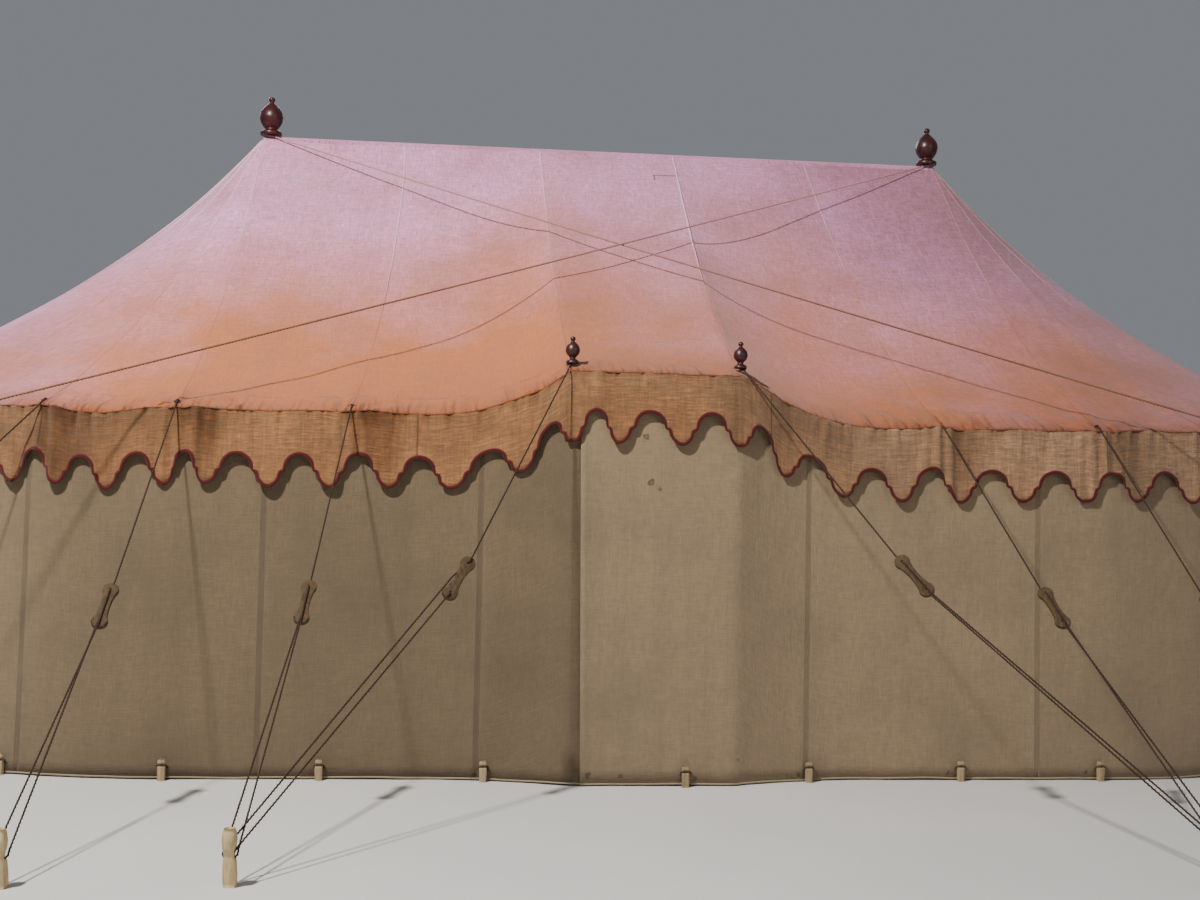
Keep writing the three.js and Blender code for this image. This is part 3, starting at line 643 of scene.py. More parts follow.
def gloss_paint(name, colour, dark):
    """Old oil paint on turned wood: glossy, a little darker in the hollows, with fine turning rings."""
    paint = Surface(name, 0.3, Coat_Weight=0.12, Coat_Roughness=0.15)
    rings = paint.cloud(paint.place, 1.0, 3.0, (4.0, 4.0, 260.0))
    blots = paint.cloud(paint.place, 26.0, 4.0, seed=2.0)
    edge = paint.node("NewGeometry").outputs["Pointiness"]
    tint = paint.mix(paint.ramp(blots, 0.35, 0.7), colour, dark)
    tint = paint.mix(paint.ramp(edge, 0.53, 0.60, 0.0, 0.5), tint, rgb(120, 58, 40))
    paint.tree.links.new(paint.ramp(blots, 0.3, 0.75, 0.30, 0.50), paint.shader.inputs["Roughness"])
    return paint.finish(tint, [(rings, 0.0004), (blots, 0.0008)])


# Paler and lilac high up and paler towards the left end: partly the linen's own tone, partly painted light
# from the lamps; the other x bands shift the tone across the front
ROOF_LINEN = linen("roof linen", rgb(246, 174, 228), rgb(206, 119, 60), rgb(142, 96, 80), 1.85, 2.95,
                   streaks=0.12, grime=0.32, panels=0.20, slub=0.48, fineness=1.5,
                   paler_towards=[(-2.0, -3.6, 0.70), (-1.6, -0.8, -0.22), (-0.5, 0.3, 0.22),
                                  (0.7, 1.7, 0.22), (2.0, 3.6, 0.25)])
# Paler than the roof cloth, most high up: painted highlight on the raised seams; the darns use it as pale
# thread
ROOF_SEAM = linen("roof seam linen", rgb(255, 224, 244), rgb(206, 121, 62), rgb(190, 130, 112), 2.05, 2.85,
                  streaks=0.05, grime=0.12, slub=0.25)
VALANCE_LINEN = linen("valance linen", rgb(206, 158, 120), rgb(194, 132, 82), rgb(96, 78, 58), 1.7, 2.4,
                      streaks=0.20, grime=0.58, panels=0.2, slub=0.50, crepe=0.70,
                      paler_towards=[(0.4, 1.2, 0.8)])
WALL_EDGE = linen("wall selvedge", rgb(192, 172, 140), rgb(184, 163, 130), rgb(130, 114, 92), 0.0, 1.5)
BINDING = stitched_tape("red binding", rgb(84, 19, 20), rgb(52, 13, 14))
POLE_WOOD = wood("pole wood", rgb(176, 142, 98), rgb(126, 94, 60), 0.6)
STAKE_WOOD = wood("stake wood", rgb(214, 194, 150), rgb(176, 152, 108), 1.0, 0.8, 0.4)
PEG_WOOD = wood("peg wood", rgb(172, 152, 118), rgb(134, 114, 86), 1.0, 0.85, 0.5)
SLIDER_WOOD = wood("slider wood", rgb(84, 66, 40), rgb(54, 42, 26), 1.4, 0.85, 0.4)
ROPE = rope_fibre("rope", rgb(72, 53, 39), rgb(34, 25, 18))
# The storm rope's paler colour high up is painted light
STORM_ROPE = rope_fibre("storm rope", rgb(146, 106, 78), rgb(92, 66, 48), rgb(200, 156, 156))
THREAD = rope_fibre("thread", rgb(136, 94, 62), rgb(80, 54, 36))
FINIAL_PAINT = gloss_paint("finial paint", rgb(66, 12, 15), rgb(34, 7, 8))


# Roof: the cloth, its seams, the band over the ridge, and the sewn foot along the eave

def roof_soil(points, up):
    """Darker towards the eave, by the distance up the cloth, and painted shade over the right half, most
    under the ridge, where the light falls off.
    """
    x, z = points[..., 0], points[..., 2]
    up = np.maximum(up, 0)
    eave = 0.12 * np.exp(-up / 0.012) + 0.18 * np.exp(-up / 0.10) + 0.34 * np.exp(-up / 0.50)
    # The right half's darkening is painted shade for the light falling off towards the right
    return eave + 0.44 * ease(x, 0.5, 1.7) * ease(z, 2.1, 2.9) + 0.20 * ease(x, 0.9, 2.2)


def roof_cloth():
    lip = np.stack([roof.edge + roof.outs * 0.0015 + [0, 0, -0.0025],
                    roof.edge - roof.outs * 0.0010 + [0, 0, -0.0050]], axis=1)
    points = np.concatenate([roof.points, lip], axis=1)
    rows = points.shape[1]
    run = np.array([run_along(line) for line in points])
    up = run[:, -1:] - run
    ring, run = closed(points), closed(run)
    uv = []
    for k, (first, last) in enumerate(zip(roof.first, roof.first[1:])):
        width = np.linalg.norm(ring[last] - ring[first], axis=1)
        share = np.linspace(-0.5, 0.5, last - first + 1)[:, None]
        across = BREADTH_UV * (k + 0.5) + share * width[None]
        uv.append(grid_uv(across, run[first:last + 1], last - first + 1, rows))
    piece = make_piece("roof_cloth", points, grid_faces(roof.count, rows, wrap_cols=True),
                       ROOF_LINEN, np.concatenate(uv), roof_soil(points, up))
    work = bmesh.new()
    work.from_mesh(piece.data)
    bmesh.ops.remove_doubles(work, verts=work.verts, dist=0.0004)
    work.to_mesh(piece.data)
    work.free()
    thicken(piece, CANVAS)
    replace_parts(piece, "roof_front_left", "roof_porch", "roof_front_right", "roof_back",
                "roof_end_left", "roof_end_right")
    return piece


# How far down the roof each front seam stays raised, as a share of its length, and how much it stands up
SEAM_RAISED = {0: (0.40, 0.004), 1: (0.62, 0.010), 2: (0.17, 0.006), 3: (0.50, 0.009), 4: (0.46, 0.0065),
               5: (0.45, 0.004), 22: (0.40, 0.004)}

# Across a flat felled seam: shares of its half width, shares of its height, and heights that don't change
SEAM_ACROSS = np.array([-1, -0.80, -0.45, 0.30, 0.72, 1])
SEAM_UP = np.array([0, 0, 1, 0.92, 0, 0])
SEAM_REST = np.array([-0.0012, 0.0002, 0, 0, 0.0002, -0.0012])
SEAM_FLAT = 0.0009


def roof_seams(name, boundaries, usual_height, steps):
    """Flat felled seams: full and raised under the ridge, nearly flat lower down."""
    parts = Parts()
    rows = np.linspace(0.012, 0.994, steps)
    for boundary in boundaries:
        points, normals = roof.seam_line(boundary, rows)
        aside = unit(np.cross(normals, unit(np.gradient(points, axis=0))))
        fade, full = SEAM_RAISED.get(boundary, (0.40 + 0.1 * math.sin(2.1 * boundary), usual_height))
        high = SEAM_FLAT + (full - SEAM_FLAT) * (1 - ease(rows, fade - 0.14, fade + 0.1))[:, None]
        section = np.stack([SEAM_REST + SEAM_UP * high, SEAM_ACROSS * (0.0026 + 0.35 * high)], axis=2)
        wobble = 0.002 * noise_at(points, 6.0, boundary)[:, None] * aside
        run = run_along(points)
        # The seam's soil and painted shade follow the cloth's
        darkening = np.clip(0.10 + roof_soil(points, run[-1] - run), 0, 1)
        tube(parts, points + wobble, normals, aside, section, darkening)
    return parts.piece(name, ROOF_SEAM, "roof_linen")


def ridge_band():
    """A doubled strip over the ridge, gathered into small tucks along its stitched edges."""
    x = np.linspace(-RIDGE_HALF - 0.01, RIDGE_HALF + 0.01, 560)[:, None]
    across = np.array([-1, -0.97, -0.8, -0.55, -0.3, -0.1, 0, 0.1, 0.3, 0.55, 0.8, 0.97, 1])[None]
    steepness = (RIDGE_Z - EAVE_Z) / HALF_DEPTH * (1 + 4 * (SAG + SAG_SKEW * 0.5))
    y = across * (0.030 + 0.006 * noise_along(x, 3.0))
    tucks = noise_along(x, 55, 4.0) + 0.8 * noise_along(x, 130, 9.0)
    often = 0.35 + 0.65 * ease(noise_along(x, 2.1, 2.0), -0.1, 0.35)
    gathered = tucks * often * np.abs(across) ** 1.5
    raised = np.where(np.abs(across) > 0.98, -0.0005, np.maximum(0.0030 + 0.0060 * gathered, 0.0006))
    z = RIDGE_Z + 0.0005 - np.abs(y) * steepness + raised
    points = np.stack([np.broadcast_to(x, y.shape), y, z], axis=2)
    # Painted shade darkens the tucks of the gathers
    piece = sheet_piece("ridge_band", points, (across + 1) / 2, x, ROOF_LINEN,
                        soil=np.clip(-2.0 * gathered, 0, 0.9), flip=True)
    thicken(piece, TAPE)
    return piece


def creases(places, down, spacing, near_guys, depth, width, reach, spread, seed):
    """Creases that fade along the cloth, from all round the eave and more from just past each guy line."""
    random = np.random.default_rng(seed)
    spots = list(random.uniform(0, roof.length, int(roof.length / spacing)))
    for boundary in EAVE_GUYS:
        spots += list(roof.guy_place(boundary) + random.uniform(-0.03, 0.30, near_guys))
    random = np.random.default_rng(seed + 1)
    field = np.zeros((len(places), len(down)))
    for spot in spots:
        deep = depth * random.uniform(0.25, 1.0)
        wide = width * random.uniform(0.6, 1.5)
        long = reach * random.uniform(0.25, 1.0)
        slant = random.normal(0, 0.09)
        columns = np.where(np.abs(roof.gap_to(places, spot)) < 0.20)[0]
        away = roof.gap_to(places[columns], spot)[:, None] - slant * down[None]
        fade = np.clip(1 - down[None] / long, 0, 1) ** 0.8
        field[columns] += deep * bell(away, wide * (1 + spread * down[None] / reach)) * fade
    return field


# Heights up the cloth of the rows of the sewn foot, and how far each stands off the cloth
HEM_UPS = np.array([-0.001, 0.0015, 0.008, 0.020, 0.036, 0.058, 0.088, 0.125, 0.175, 0.240])
HEM_HEIGHTS = np.array([0.0, 0.0014, 0.0019, 0.0019, 0.0018, 0.0017, 0.0015, 0.0012, 0.0004, -0.0012])

# Stretches of the eave as shares of its length, closer columns where the photograph sees them
HEM_STRETCHES = [(0, 0.37, 0.0052), (0.37, 0.83, 0.0078), (0.83, 1, 0.0052)]


def eave_hem():
    """The foot of the roof cloth, turned under and sewn: its stitches pinch it into short creases."""
    places = np.concatenate([np.arange(roof.length * start, roof.length * end, step)
                             for start, end, step in HEM_STRETCHES])
    fade = 1 - ease(HEM_UPS, 0.12, 0.23)
    rise = creases(places, HEM_UPS, spacing=0.075, near_guys=4, depth=0.0078, width=0.0070, reach=0.42,
                   spread=1.4, seed=11)
    rise -= creases(places, HEM_UPS, spacing=0.12, near_guys=2, depth=0.0014, width=0.0085, reach=0.42,
                    spread=1.6, seed=21)
    # Painted shade: dark strokes along the pinched creases
    strokes = creases(places, HEM_UPS, spacing=0.045, near_guys=5, depth=0.40, width=0.0048, reach=0.42,
                      spread=0.5, seed=51)
    rise += 0.0016 * noise_along(places, 85.0, 2.0)[:, None] * np.exp(-HEM_UPS / 0.012)
    out = roof.at_eave(places)[1]
    points = []
    for k, up in enumerate(HEM_UPS):
        at, normal = roof.above_eave(places, max(up, 0.0))
        high = HEM_HEIGHTS[k] + rise[:, k] * (up > 0.002) * fade[k]
        under = UP * up + out * 0.002 if up < 0 else 0.0
        points.append(at + under + normal * high[:, None])
    points = np.stack(points[::-1], axis=1)
    ring = np.concatenate([places, [roof.length]])
    panel = np.searchsorted(roof.along[roof.first[:-1]], ring, side="right") - 1
    u = BREADTH_UV * (panel + 0.5) + 0.3 * np.sin(ring)
    rise, strokes, ups = rise[:, ::-1], (strokes * fade)[:, ::-1], HEM_UPS[None, ::-1]
    # Painted shade beside and in the creases, and the dark strokes
    darkening = 60 * np.clip(0.3 * np.roll(rise, 3, axis=0) - rise, 0, 0.008) + strokes
    piece = sheet_piece("eave_hem", points, u[:, None], 3.0 - ups, ROOF_LINEN, (True, False),
                        np.clip(roof_soil(points, ups) + darkening, 0, 1))
    thicken(piece, TAPE)
    return piece


SQUARE = np.array([[1, 0], [0, 1], [-1, 0], [0, -1]])


def eave_stitches():
    """Dark thread whipped over the sewn edge, stitch by stitch."""
    random = np.random.default_rng(5)
    thread = Parts()
    place = 0.0
    while place < roof.length - 0.02:
        place += random.uniform(0.022, 0.060)
        longest = random.uniform(0.006, 0.018)
        ups = np.array([0.001, 0.4 * longest, longest])
        at, normal = roof.above_eave(np.full(3, place), ups)
        out = roof.at_eave([place])[1]
        lean = random.normal(0, 0.10) * ups[:, None] * unit(np.cross(out, UP))
        high = np.array([0.0042, 0.0046, 0.0032])[:, None]
        low = at[:1] + out * 0.0040 + [0, 0, -0.005]
        path = np.concatenate([low, at + lean + normal * high])
        strand(thread, path, SQUARE * random.uniform(0.0006, 0.0010))
    thread.piece("eave_stitches", THREAD, "rope")


# Valance with its red binding

def scallop_height(phase):
    """Height of the hem over the lowest lobe: a round lobe, a small shoulder, a round arch."""
    far = np.abs((np.asarray(phase) + 0.5) % 1.0 - 0.5)
    lobe_half, arch_half = 0.205, 0.222
    low, high = 0.45, 0.55
    inside = far / lobe_half
    lobe = low * (0.75 * (1 - np.sqrt(np.clip(1 - inside ** 2, 0, 1))) + 0.25 * inside ** 2)
    step = np.clip((far - lobe_half) / (0.5 - arch_half - lobe_half), 0, 1)
    shoulder = low + (high - low) * step ** 2
    arch = high + (1 - high) * np.sqrt(np.clip(1 - ((0.5 - far) / arch_half) ** 2, 0, 1)) ** 0.9
    return SCALLOP_RISE * np.where(far < lobe_half, lobe, np.where(far < 0.5 - arch_half, shoulder, arch))


# Where the front lobes hang along the eave, from its left corner; the cloth is drawn in at the corners
FRONT_LOBES = [-0.72, -0.52, -0.29, -0.04, 0.13, 0.41, 0.67, 0.93, 1.21, 1.55, 1.80,
               2.00, 2.285, 2.55, 2.80, 3.11, 3.39, 3.67, 3.97, 4.28, 4.53, 4.82]
VALANCE_ROWS = np.array([0, 0.035, 0.08, 0.14, 0.21, 0.29, 0.38, 0.48, 0.59, 0.70, 0.80, 0.90, 1.0])


def lobe_places():
    """The front lobes, and then as many of an even pitch as the rest of the way round takes."""
    rest = roof.length - (FRONT_LOBES[-1] - FRONT_LOBES[0])
    count = round(rest / SCALLOP_PITCH)
    steps = 1 + 0.12 * np.sin(1.9 * np.arange(count)) + 0.08 * np.sin(5.3 * np.arange(count))
    return np.concatenate([FRONT_LOBES, FRONT_LOBES[-1] + np.cumsum(steps) * rest / steps.sum()])


def valance_surface():
    """The valance as a grid, its hem last, with soft waves, and creases where the eave gathers it."""
    lobes = lobe_places()
    phase = np.arange((len(lobes) - 1) * LOBE_COLUMNS) / LOBE_COLUMNS
    places = np.interp(phase, np.arange(len(lobes)), lobes)
    top, out = roof.at_eave(places)
    down = VALANCE_ROWS[None]
    fall = VALANCE_ROWS * VALANCE_DROP

    # The cut of the hem
    rise = scallop_height(phase)
    over_door = np.clip(1 - (np.abs(top[:, 0]) - DOOR_HALF) / 0.2, 0, 1) * (top[:, 1] < -HALF_DEPTH)
    drop = VALANCE_DROP - rise + 0.006 * noise_along(places, 1.7, 5.0) - 0.022 * over_door

    # Waves, pleats at the guy lines, dents at the door poles, folds and curled lobes
    wave = 0.010 * noise_along(places, 2.3, 1.0) + 0.006 * noise_along(places, 6.0, 2.0)
    flare = VALANCE_FLARE * down ** 1.2 + wave[:, None] * down ** 1.1
    for boundary in EAVE_GUYS:
        gap = roof.gap_to(places, roof.guy_place(boundary))
        pleat = 0.014 * np.sin(gap * 95 + boundary) * bell(gap, 0.10)
        flare = flare + pleat[:, None] * (0.35 + 0.65 * down) * (1 - 0.5 * down)
    for boundary in DOOR_SEAMS:
        gap = roof.gap_to(places, roof.guy_place(boundary))[:, None]
        flare = flare - 0.020 * bell(gap, 0.022) * ease(down, 0.0, 0.25)
    folds = creases(places, fall, spacing=0.085, near_guys=7, depth=0.0125, width=0.0105, reach=0.32,
                    spread=1.5, seed=31)
    bulge = creases(places, fall, spacing=0.14, near_guys=3, depth=0.0090, width=0.0140, reach=0.32,
                    spread=1.5, seed=41)
    flare = flare - (folds - bulge) * ease(down, -0.08, 0.06)
    curl = 0.012 * np.sin(5.1 * np.round(phase) + 2.0) * (rise < 0.07) * (1 - rise / 0.07) ** 2
    flare = flare + curl[:, None] * ease(down, 0.7, 1.0)

    # The cloth stays clear of the wall behind it
    least = 0.016 * down - 0.006
    flare = least + np.logaddexp(0, (flare - least) / 0.003) * 0.003
    points = (top - out * 0.0010)[:, None] + out[:, None] * flare[..., None]
    points[..., 2] -= 0.001 + drop[:, None] * down

    # Painted shade in the folds, under the seam at the top and beside the guy lines, darker left of the
    # door, and patches at random
    duller = 0.06 + 0.28 * (1 - ease(top[:, :1], 0.45, 1.1))
    soil = duller + 0.30 * noise_over(places[:, None] * 1.3, 2.0 * down, 14.0)
    soil = soil + 22.0 * np.clip(folds - 0.3 * bulge, 0, 0.03) + 0.12 * np.exp(-fall / 0.012)[None]
    for boundary in EAVE_GUYS:
        gap = roof.gap_to(places, roof.guy_place(boundary) + 0.10)[:, None]
        soil = soil + 0.55 * bell(gap, 0.10) * (1 - 0.6 * down)
    return points, places, np.clip(soil, 0, 1)


def valance_cloth(points, places, soil):
    ring = np.concatenate([places, [places[0] + roof.length]])
    u = BREADTH_UV * np.floor((ring + 0.6) / 1.66) + ring
    v = closed(points[:, :1, 2] - points[..., 2])
    piece = sheet_piece("valance_cloth", points, u[:, None], v, VALANCE_LINEN,
                        (True, False), soil)
    thicken(piece, CANVAS)
    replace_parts(piece, "valance_front_left", "valance_porch", "valance_front_right", "valance_end_right",
                "valance_back", "valance_end_left")
    return piece


def valance_binding(points, places):
    """Red tape folded over the scalloped hem."""
    hem, above = points[:, -1], points[:, -2]
    along = unit(np.roll(hem, -1, axis=0) - np.roll(hem, 1, axis=0))
    face = unit(np.cross(along, above - hem))
    face *= np.sign((face * roof.at_eave(places)[1]).sum(axis=1, keepdims=True))
    upward = unit(np.cross(face, along))
    upward *= np.sign(upward[:, 2:])
    width = 0.0135
    shape = np.array([[0.0014, width], [0.0026, width * 0.5], [0.0022, 0.0006], [0.0003, -0.0018],
                      [-0.0022, 0.0006], [-0.0026, width * 0.5], [-0.0016, width]])
    middle = (hem - face * (CANVAS / 2))[:, None]
    rings = middle + shape[None, :, :1] * face[:, None] + shape[None, :, 1:] * upward[:, None]
    u = np.linspace(0, 1, len(shape) + 1)[None]
    v = run_along(closed(hem))[:, None]
    return sheet_piece("valance_binding", rings, u, v, BINDING, (True, True))


# Walls: one long cloth from the free edge of the door flap, right round to the left of the door

T_WALL = 1 - WALL_INSET / HALF_DEPTH
WALL_BELOW_ROOF = 0.004
BEHIND_FLAP = 0.085
WALL_BREADTH = 0.94
FRONT_WALL_SEAMS = (0.731, 1.828, -0.771, -1.710)
PEG_SPACING = 0.72
FRONT_PEGS = (0.140, 0.723, 1.459, 2.120, -0.731, -1.466, -2.120)

# Stains on the door flap, and the rubbed holes beside the pegs, their dark painted shade: seen at x and z,
# with a radius
WALL_MARKS = [(-0.047, 1.543, 0.015), (-0.020, 1.342, 0.017), (0.017, 1.312, 0.011), (-0.281, 0.048, 0.013),
              (-0.136, 0.045, 0.012), (0.196, 0.034, 0.010), (0.688, 0.030, 0.010), (1.399, 0.032, 0.010),
              (2.066, 0.036, 0.010)]


def ridge_mark(eave_x):
    eave_marks = [-EAVE_HALF, -SEAM_OUTER_EAVE, -DOOR_HALF, DOOR_HALF, SEAM_OUTER_EAVE, EAVE_HALF]
    return float(np.interp(eave_x, eave_marks, SEAM_MARKS))


def wall_line():
    """Rays for the columns of the wall, evenly spaced at the ground, and the lap of the door flap."""
    runs = [("front", np.linspace(ridge_mark(FLAP_LEFT), RIDGE_HALF, 400)),
            ("right", np.linspace(0, math.pi, 400)[1:]),
            ("back", np.linspace(RIDGE_HALF, -RIDGE_HALF, 300)[1:]),
            ("left", np.linspace(math.pi, 0, 400)[1:]),
            ("front", np.linspace(-RIDGE_HALF, ridge_mark(FLAP_LEFT + BEHIND_FLAP), 300)[1:])]
    tops, feet, outs = (np.concatenate(rows) for rows in zip(*[rays(side, marks) for side, marks in runs]))
    lap = FLAP_LAP * np.clip((FLAP_RIGHT - feet[:, 0]) / FLAP_RIGHT, 0, 1)
    lap[len(runs[0][1]) // 2:] = 0
    line = hung(tops, feet, [T_WALL, 1.0])
    inward = line[:, 1] - line[:, 0]
    top = line[:, 0] + inward * (lap / np.linalg.norm(inward[:, :2], axis=1))[:, None]
    top[:, 2] -= ROOF_CLOTH + WALL_BELOW_ROOF + roof.dip_under(feet)
    base = feet + outs * (WALL_BASE_OUT + lap)[:, None]
    base[:, 2] = 0
    run = run_along(base)
    places = np.arange(0, run[-1], WALL_STEP)
    top, base, outs = (between_rows(places, run, rows) for rows in (top, base, outs))
    return top, base, unit(outs), places


wall_top, wall_base, wall_out, wall_places = wall_line()


def wall_surface():
    """A nearly flat hanging with soft folds that open downwards, and a hem that is lifted here and there."""
    down = np.linspace(0, 1, WALL_ROWS)[None] ** 0.92
    edge = wall_places[:, None]
    swell = 0.007 * noise_along(edge, 1.5, 3.0) + 0.0035 * noise_along(edge, 4.1, 7.0)
    calm = ease(down, 0.0, 0.35)
    fold = swell * np.sin(down * math.pi * 0.62) * calm
    fold = fold + 0.0012 * noise_along(edge, 11.0, 1.0) * (0.2 + 0.8 * down)
    fold = fold + 0.005 * noise_along(edge, 7.0, 4.0) * ease(down, 0.85, 1.0)
    fold = fold + 0.018 * np.exp(-edge / 0.06) * calm * (1 - 0.6 * down ** 3)
    fold = fold + 0.004 * noise_over(edge * 2.5, down * 1.8, 6.0) * np.sin(math.pi * down)
    points = wall_top[:, None] + (wall_base - wall_top)[:, None] * down[..., None]
    points = points + wall_out[:, None] * fold[..., None]
    points[..., 0] += 0.030 * (down - 0.5) * np.exp(-edge / 0.25)
    points[..., 2] += (0.003 + 0.0045 * (1 + noise_along(edge, 3.4, 9.0))) * ease(down, 0.6, 1.0)
    return points


wall_points = wall_surface()


def wall_place_at(x):
    """How far round the wall a place on its front is; the left wall is at the end of the run."""
    front = np.where(wall_base[:, 1] < -HALF_DEPTH, np.abs(wall_base[:, 0] - x), 9.0)
    half = len(front) // 2
    return wall_places[half + np.argmin(front[half:]) if x < FLAP_LEFT else np.argmin(front[:half])]


def nearest(points, x, z, furthest_y):
    """The column and row of the grid point that the front view shows at x and z."""
    seen = points[..., 1] < furthest_y
    away = np.where(seen, np.hypot(points[..., 0] - x, points[..., 2] - z), 9.0)
    return np.unravel_index(np.argmin(away), away.shape)


def wall_spot(x, z):
    """The point of the front wall that is seen at x and z."""
    return x, float(wall_points[nearest(wall_points, x, z, -HALF_DEPTH + 0.1)][1]), z


def wall_seam_places():
    right_of_door = [wall_place_at(x) for x in FRONT_WALL_SEAMS if x > 0]
    left_of_door = [wall_place_at(x) for x in FRONT_WALL_SEAMS if x < 0]
    rest = np.arange(right_of_door[-1] + WALL_BREADTH, min(left_of_door) - WALL_BREADTH / 2, WALL_BREADTH)
    return sorted(right_of_door + list(rest) + left_of_door)


wall_seam_at = wall_seam_places()
# The colour that the walls' soil and painted shade multiply in
WALL_DARKENING = rgb(134, 134, 130)
WALL_LINEN = linen("wall linen", rgb(156, 132, 103), rgb(151, 129, 102), rgb(100, 90, 72), 0.0, 1.5,
                   streaks=0.14, grime=0.35, panels=0.22, slub=0.28, fineness=1.6, darkening=WALL_DARKENING,
                   stains_and_hole_shade=[(wall_spot(x, z), radius) for x, z, radius in WALL_MARKS])
WALL_SEAM = linen("wall seam linen", rgb(158, 134, 105), rgb(153, 131, 104), rgb(100, 90, 72), 0.0, 1.5,
                  streaks=0.05, grime=0.35, panels=0.08, slub=0.28, fineness=1.6, darkening=WALL_DARKENING)


def wall_soil(places, high):
    """Darkening on the walls: painted shade, most left of the door where the light falls off and in the
    shade beside it, and dirt along the ground.
    """
    left_of_door = ease(places, wall_places[-1] - 3.2, wall_places[-1] - 2.2)
    beside_door = ease(places, wall_seam_at[-1] - 0.04, wall_seam_at[-1] + 0.10)
    return 0.12 + 0.46 * left_of_door + 0.08 * beside_door + 0.20 * np.exp(-high / 0.05) * (1 - beside_door)


def wall_cloth():
    panel = np.searchsorted(wall_seam_at, wall_places + WALL_STEP / 2)
    u = (wall_places + BREADTH_UV * panel)[:, None]
    v = wall_points[:, :1, 2] - wall_points[..., 2]
    piece = sheet_piece("wall_cloth", wall_points, u, v, WALL_LINEN,
                        soil=wall_soil(wall_places[:, None], wall_points[..., 2]))
    thicken(piece, CANVAS)
    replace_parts(piece, "door_flap", "wall_front_right", "wall_end_right", "wall_back", "wall_end_left",
                "wall_front_left")
    return piece


def wall_seams():
    """The upright seams between the breadths of the wall."""
    parts = Parts()
    flat = np.array([[-0.0008, -0.0024], [0.0002, -0.0018], [0.0005, 0],
                     [0.0002, 0.0018], [-0.0008, 0.0024]])
    for place in wall_seam_at:
        column = int(round(place / WALL_STEP))
        line = wall_points[column]
        aside = unit(wall_points[column + 1] - wall_points[column - 1])
        normals = unit(np.cross(unit(np.gradient(line, axis=0)), aside))
        tube(parts, line, normals, aside, flat, wall_soil(place, line[:, 2]))
    return parts.piece("wall_seams", WALL_SEAM, "wall_linen")


def wall_selvedge():
    """The pale woven edge along the foot of the walls."""
    parts = Parts()
    low = wall_points[:, -1]
    section = np.array([[-0.0018, -0.0015], [0.0006, -0.0022], [0.0012, 0.0015], [0.0008, 0.0052],
                        [-0.0008, 0.0060]])
    tube(parts, low, wall_out, unit(wall_points[:, -2] - low), section)
    return parts.piece("wall_selvedge", WALL_EDGE, "wall_linen")


# Ropes

def rounded(corners, cut):
    """A path through corner points, each corner turned on a short curve."""
    corners = [np.asarray(p, float) for p in corners]
    path = [corners[0]]
    for before, at, after in zip(corners, corners[1:], corners[2:]):
        into, away = before - at, after - at
        reach = min(cut, 0.45 * np.linalg.norm(into), 0.45 * np.linalg.norm(away))
        start, end = at + unit(into) * reach, at + unit(away) * reach
        for share in np.linspace(0, 1, 6):
            path.append((1 - share) ** 2 * start + 2 * share * (1 - share) * at + share ** 2 * end)
    path.append(corners[-1])
    return np.array(path)


def laid_rope(parts, path, radius, step=KNOT_STEP):
    """Three-strand rope: a ring of lobes and grooves that turns as it goes, a sixth at each full step."""
    path = np.asarray(path)
    run = run_along(path)
    path = between_rows(np.linspace(0, run[-1], max(4, int(round(run[-1] / step))) + 1), run, path)
    turn = np.arange(len(path))[:, None] * TAU / 6 * min(1, step / LAY_STEP)
    angle = turn + np.arange(6)[None] * TAU / 6
    reach = radius * np.where(np.arange(6) % 2 == 0, 1.12, 0.70)[None]
    strand(parts, path, np.stack([reach * np.cos(angle), reach * np.sin(angle)], axis=2))


def coil(centre, axis, radius, turns, pitch=0.0):
    """A short winding round an axis, such as a knot or a lashing."""
    axis = unit(np.asarray(axis, float))
    side = unit(np.cross(axis, [0.31, 0.52, 0.79]))
    other = np.cross(axis, side)
    angle = np.linspace(0, TAU * turns, int(14 * turns) + 1)[:, None]
    along = (angle / TAU - turns / 2) * pitch
    return np.asarray(centre) + radius * (np.cos(angle) * side + np.sin(angle) * other) + along * axis


# How far a rope stays clear of the wood that it touches
ROPE_CLEAR = 0.0005

STAKE_PLACES = {
    "front_left_corner": (-2.310, -4.070), "front_left": (-1.590, -4.070),
    "front_right": (1.754, -4.242), "front_right_corner": (2.450, -4.070),
    "back_left_corner": (-2.310, 4.070), "back_left": (-1.590, 4.070),
    "back_right": (1.590, 4.070), "back_right_corner": (2.310, 4.070),
}
for hand, side in (("left", -1), ("right", 1)):
    for place, degrees in (("front", 30), ("middle", 90), ("back", 150)):
        turn = math.radians(degrees)
        STAKE_PLACES[f"end_{hand}_{place}"] = (side * (EAVE_HALF + END_STAKE_REACH * math.sin(turn)),
                                               -END_STAKE_REACH * math.cos(turn))

# Which boundaries of the roof's breadths each stake holds
GUYS = {
    "front_left_corner": [0], "front_left": [1, 2], "front_right": [4, 3], "front_right_corner": [5],
    "end_right_front": [6, 8], "end_right_middle": [10, 12], "end_right_back": [14, 16],
    "back_right_corner": [17], "back_right": [18, 19], "back_left": [21, 20], "back_left_corner": [22],
    "end_left_back": [23, 25], "end_left_middle": [27, 29], "end_left_front": [31, 33],
}

# Each side's stakes, how closely its ropes are laid, and a seed for its hewn wood
GUY_SIDES = {
    "front": (["front_left_corner", "front_left", "front_right", "front_right_corner"], LAY_STEP, 5.0),
    "back": (["back_left_corner", "back_left", "back_right", "back_right_corner"], FAR_LAY_STEP, 4.0),
    "left": (["end_left_front", "end_left_middle", "end_left_back"], FAR_LAY_STEP, 4.0),
    "right": (["end_right_front", "end_right_middle", "end_right_back"], FAR_LAY_STEP, 5.0),
}

# How far down its guy each slider hangs, as a share of the way, and how far below the straight line
EAVE_HANG = (0.46, 0.080)
FRONT_HANGS = {0: (0.477, 0.080), 1: (0.448, 0.105), 2: (0.392, 0.220), 3: (0.410, 0.145), 4: (0.455, 0.065)}

# How far up the cloth each eyelet is, and where the rope off it rests on the cloth
EYELET_UP = 0.034
REST_UP = 0.016


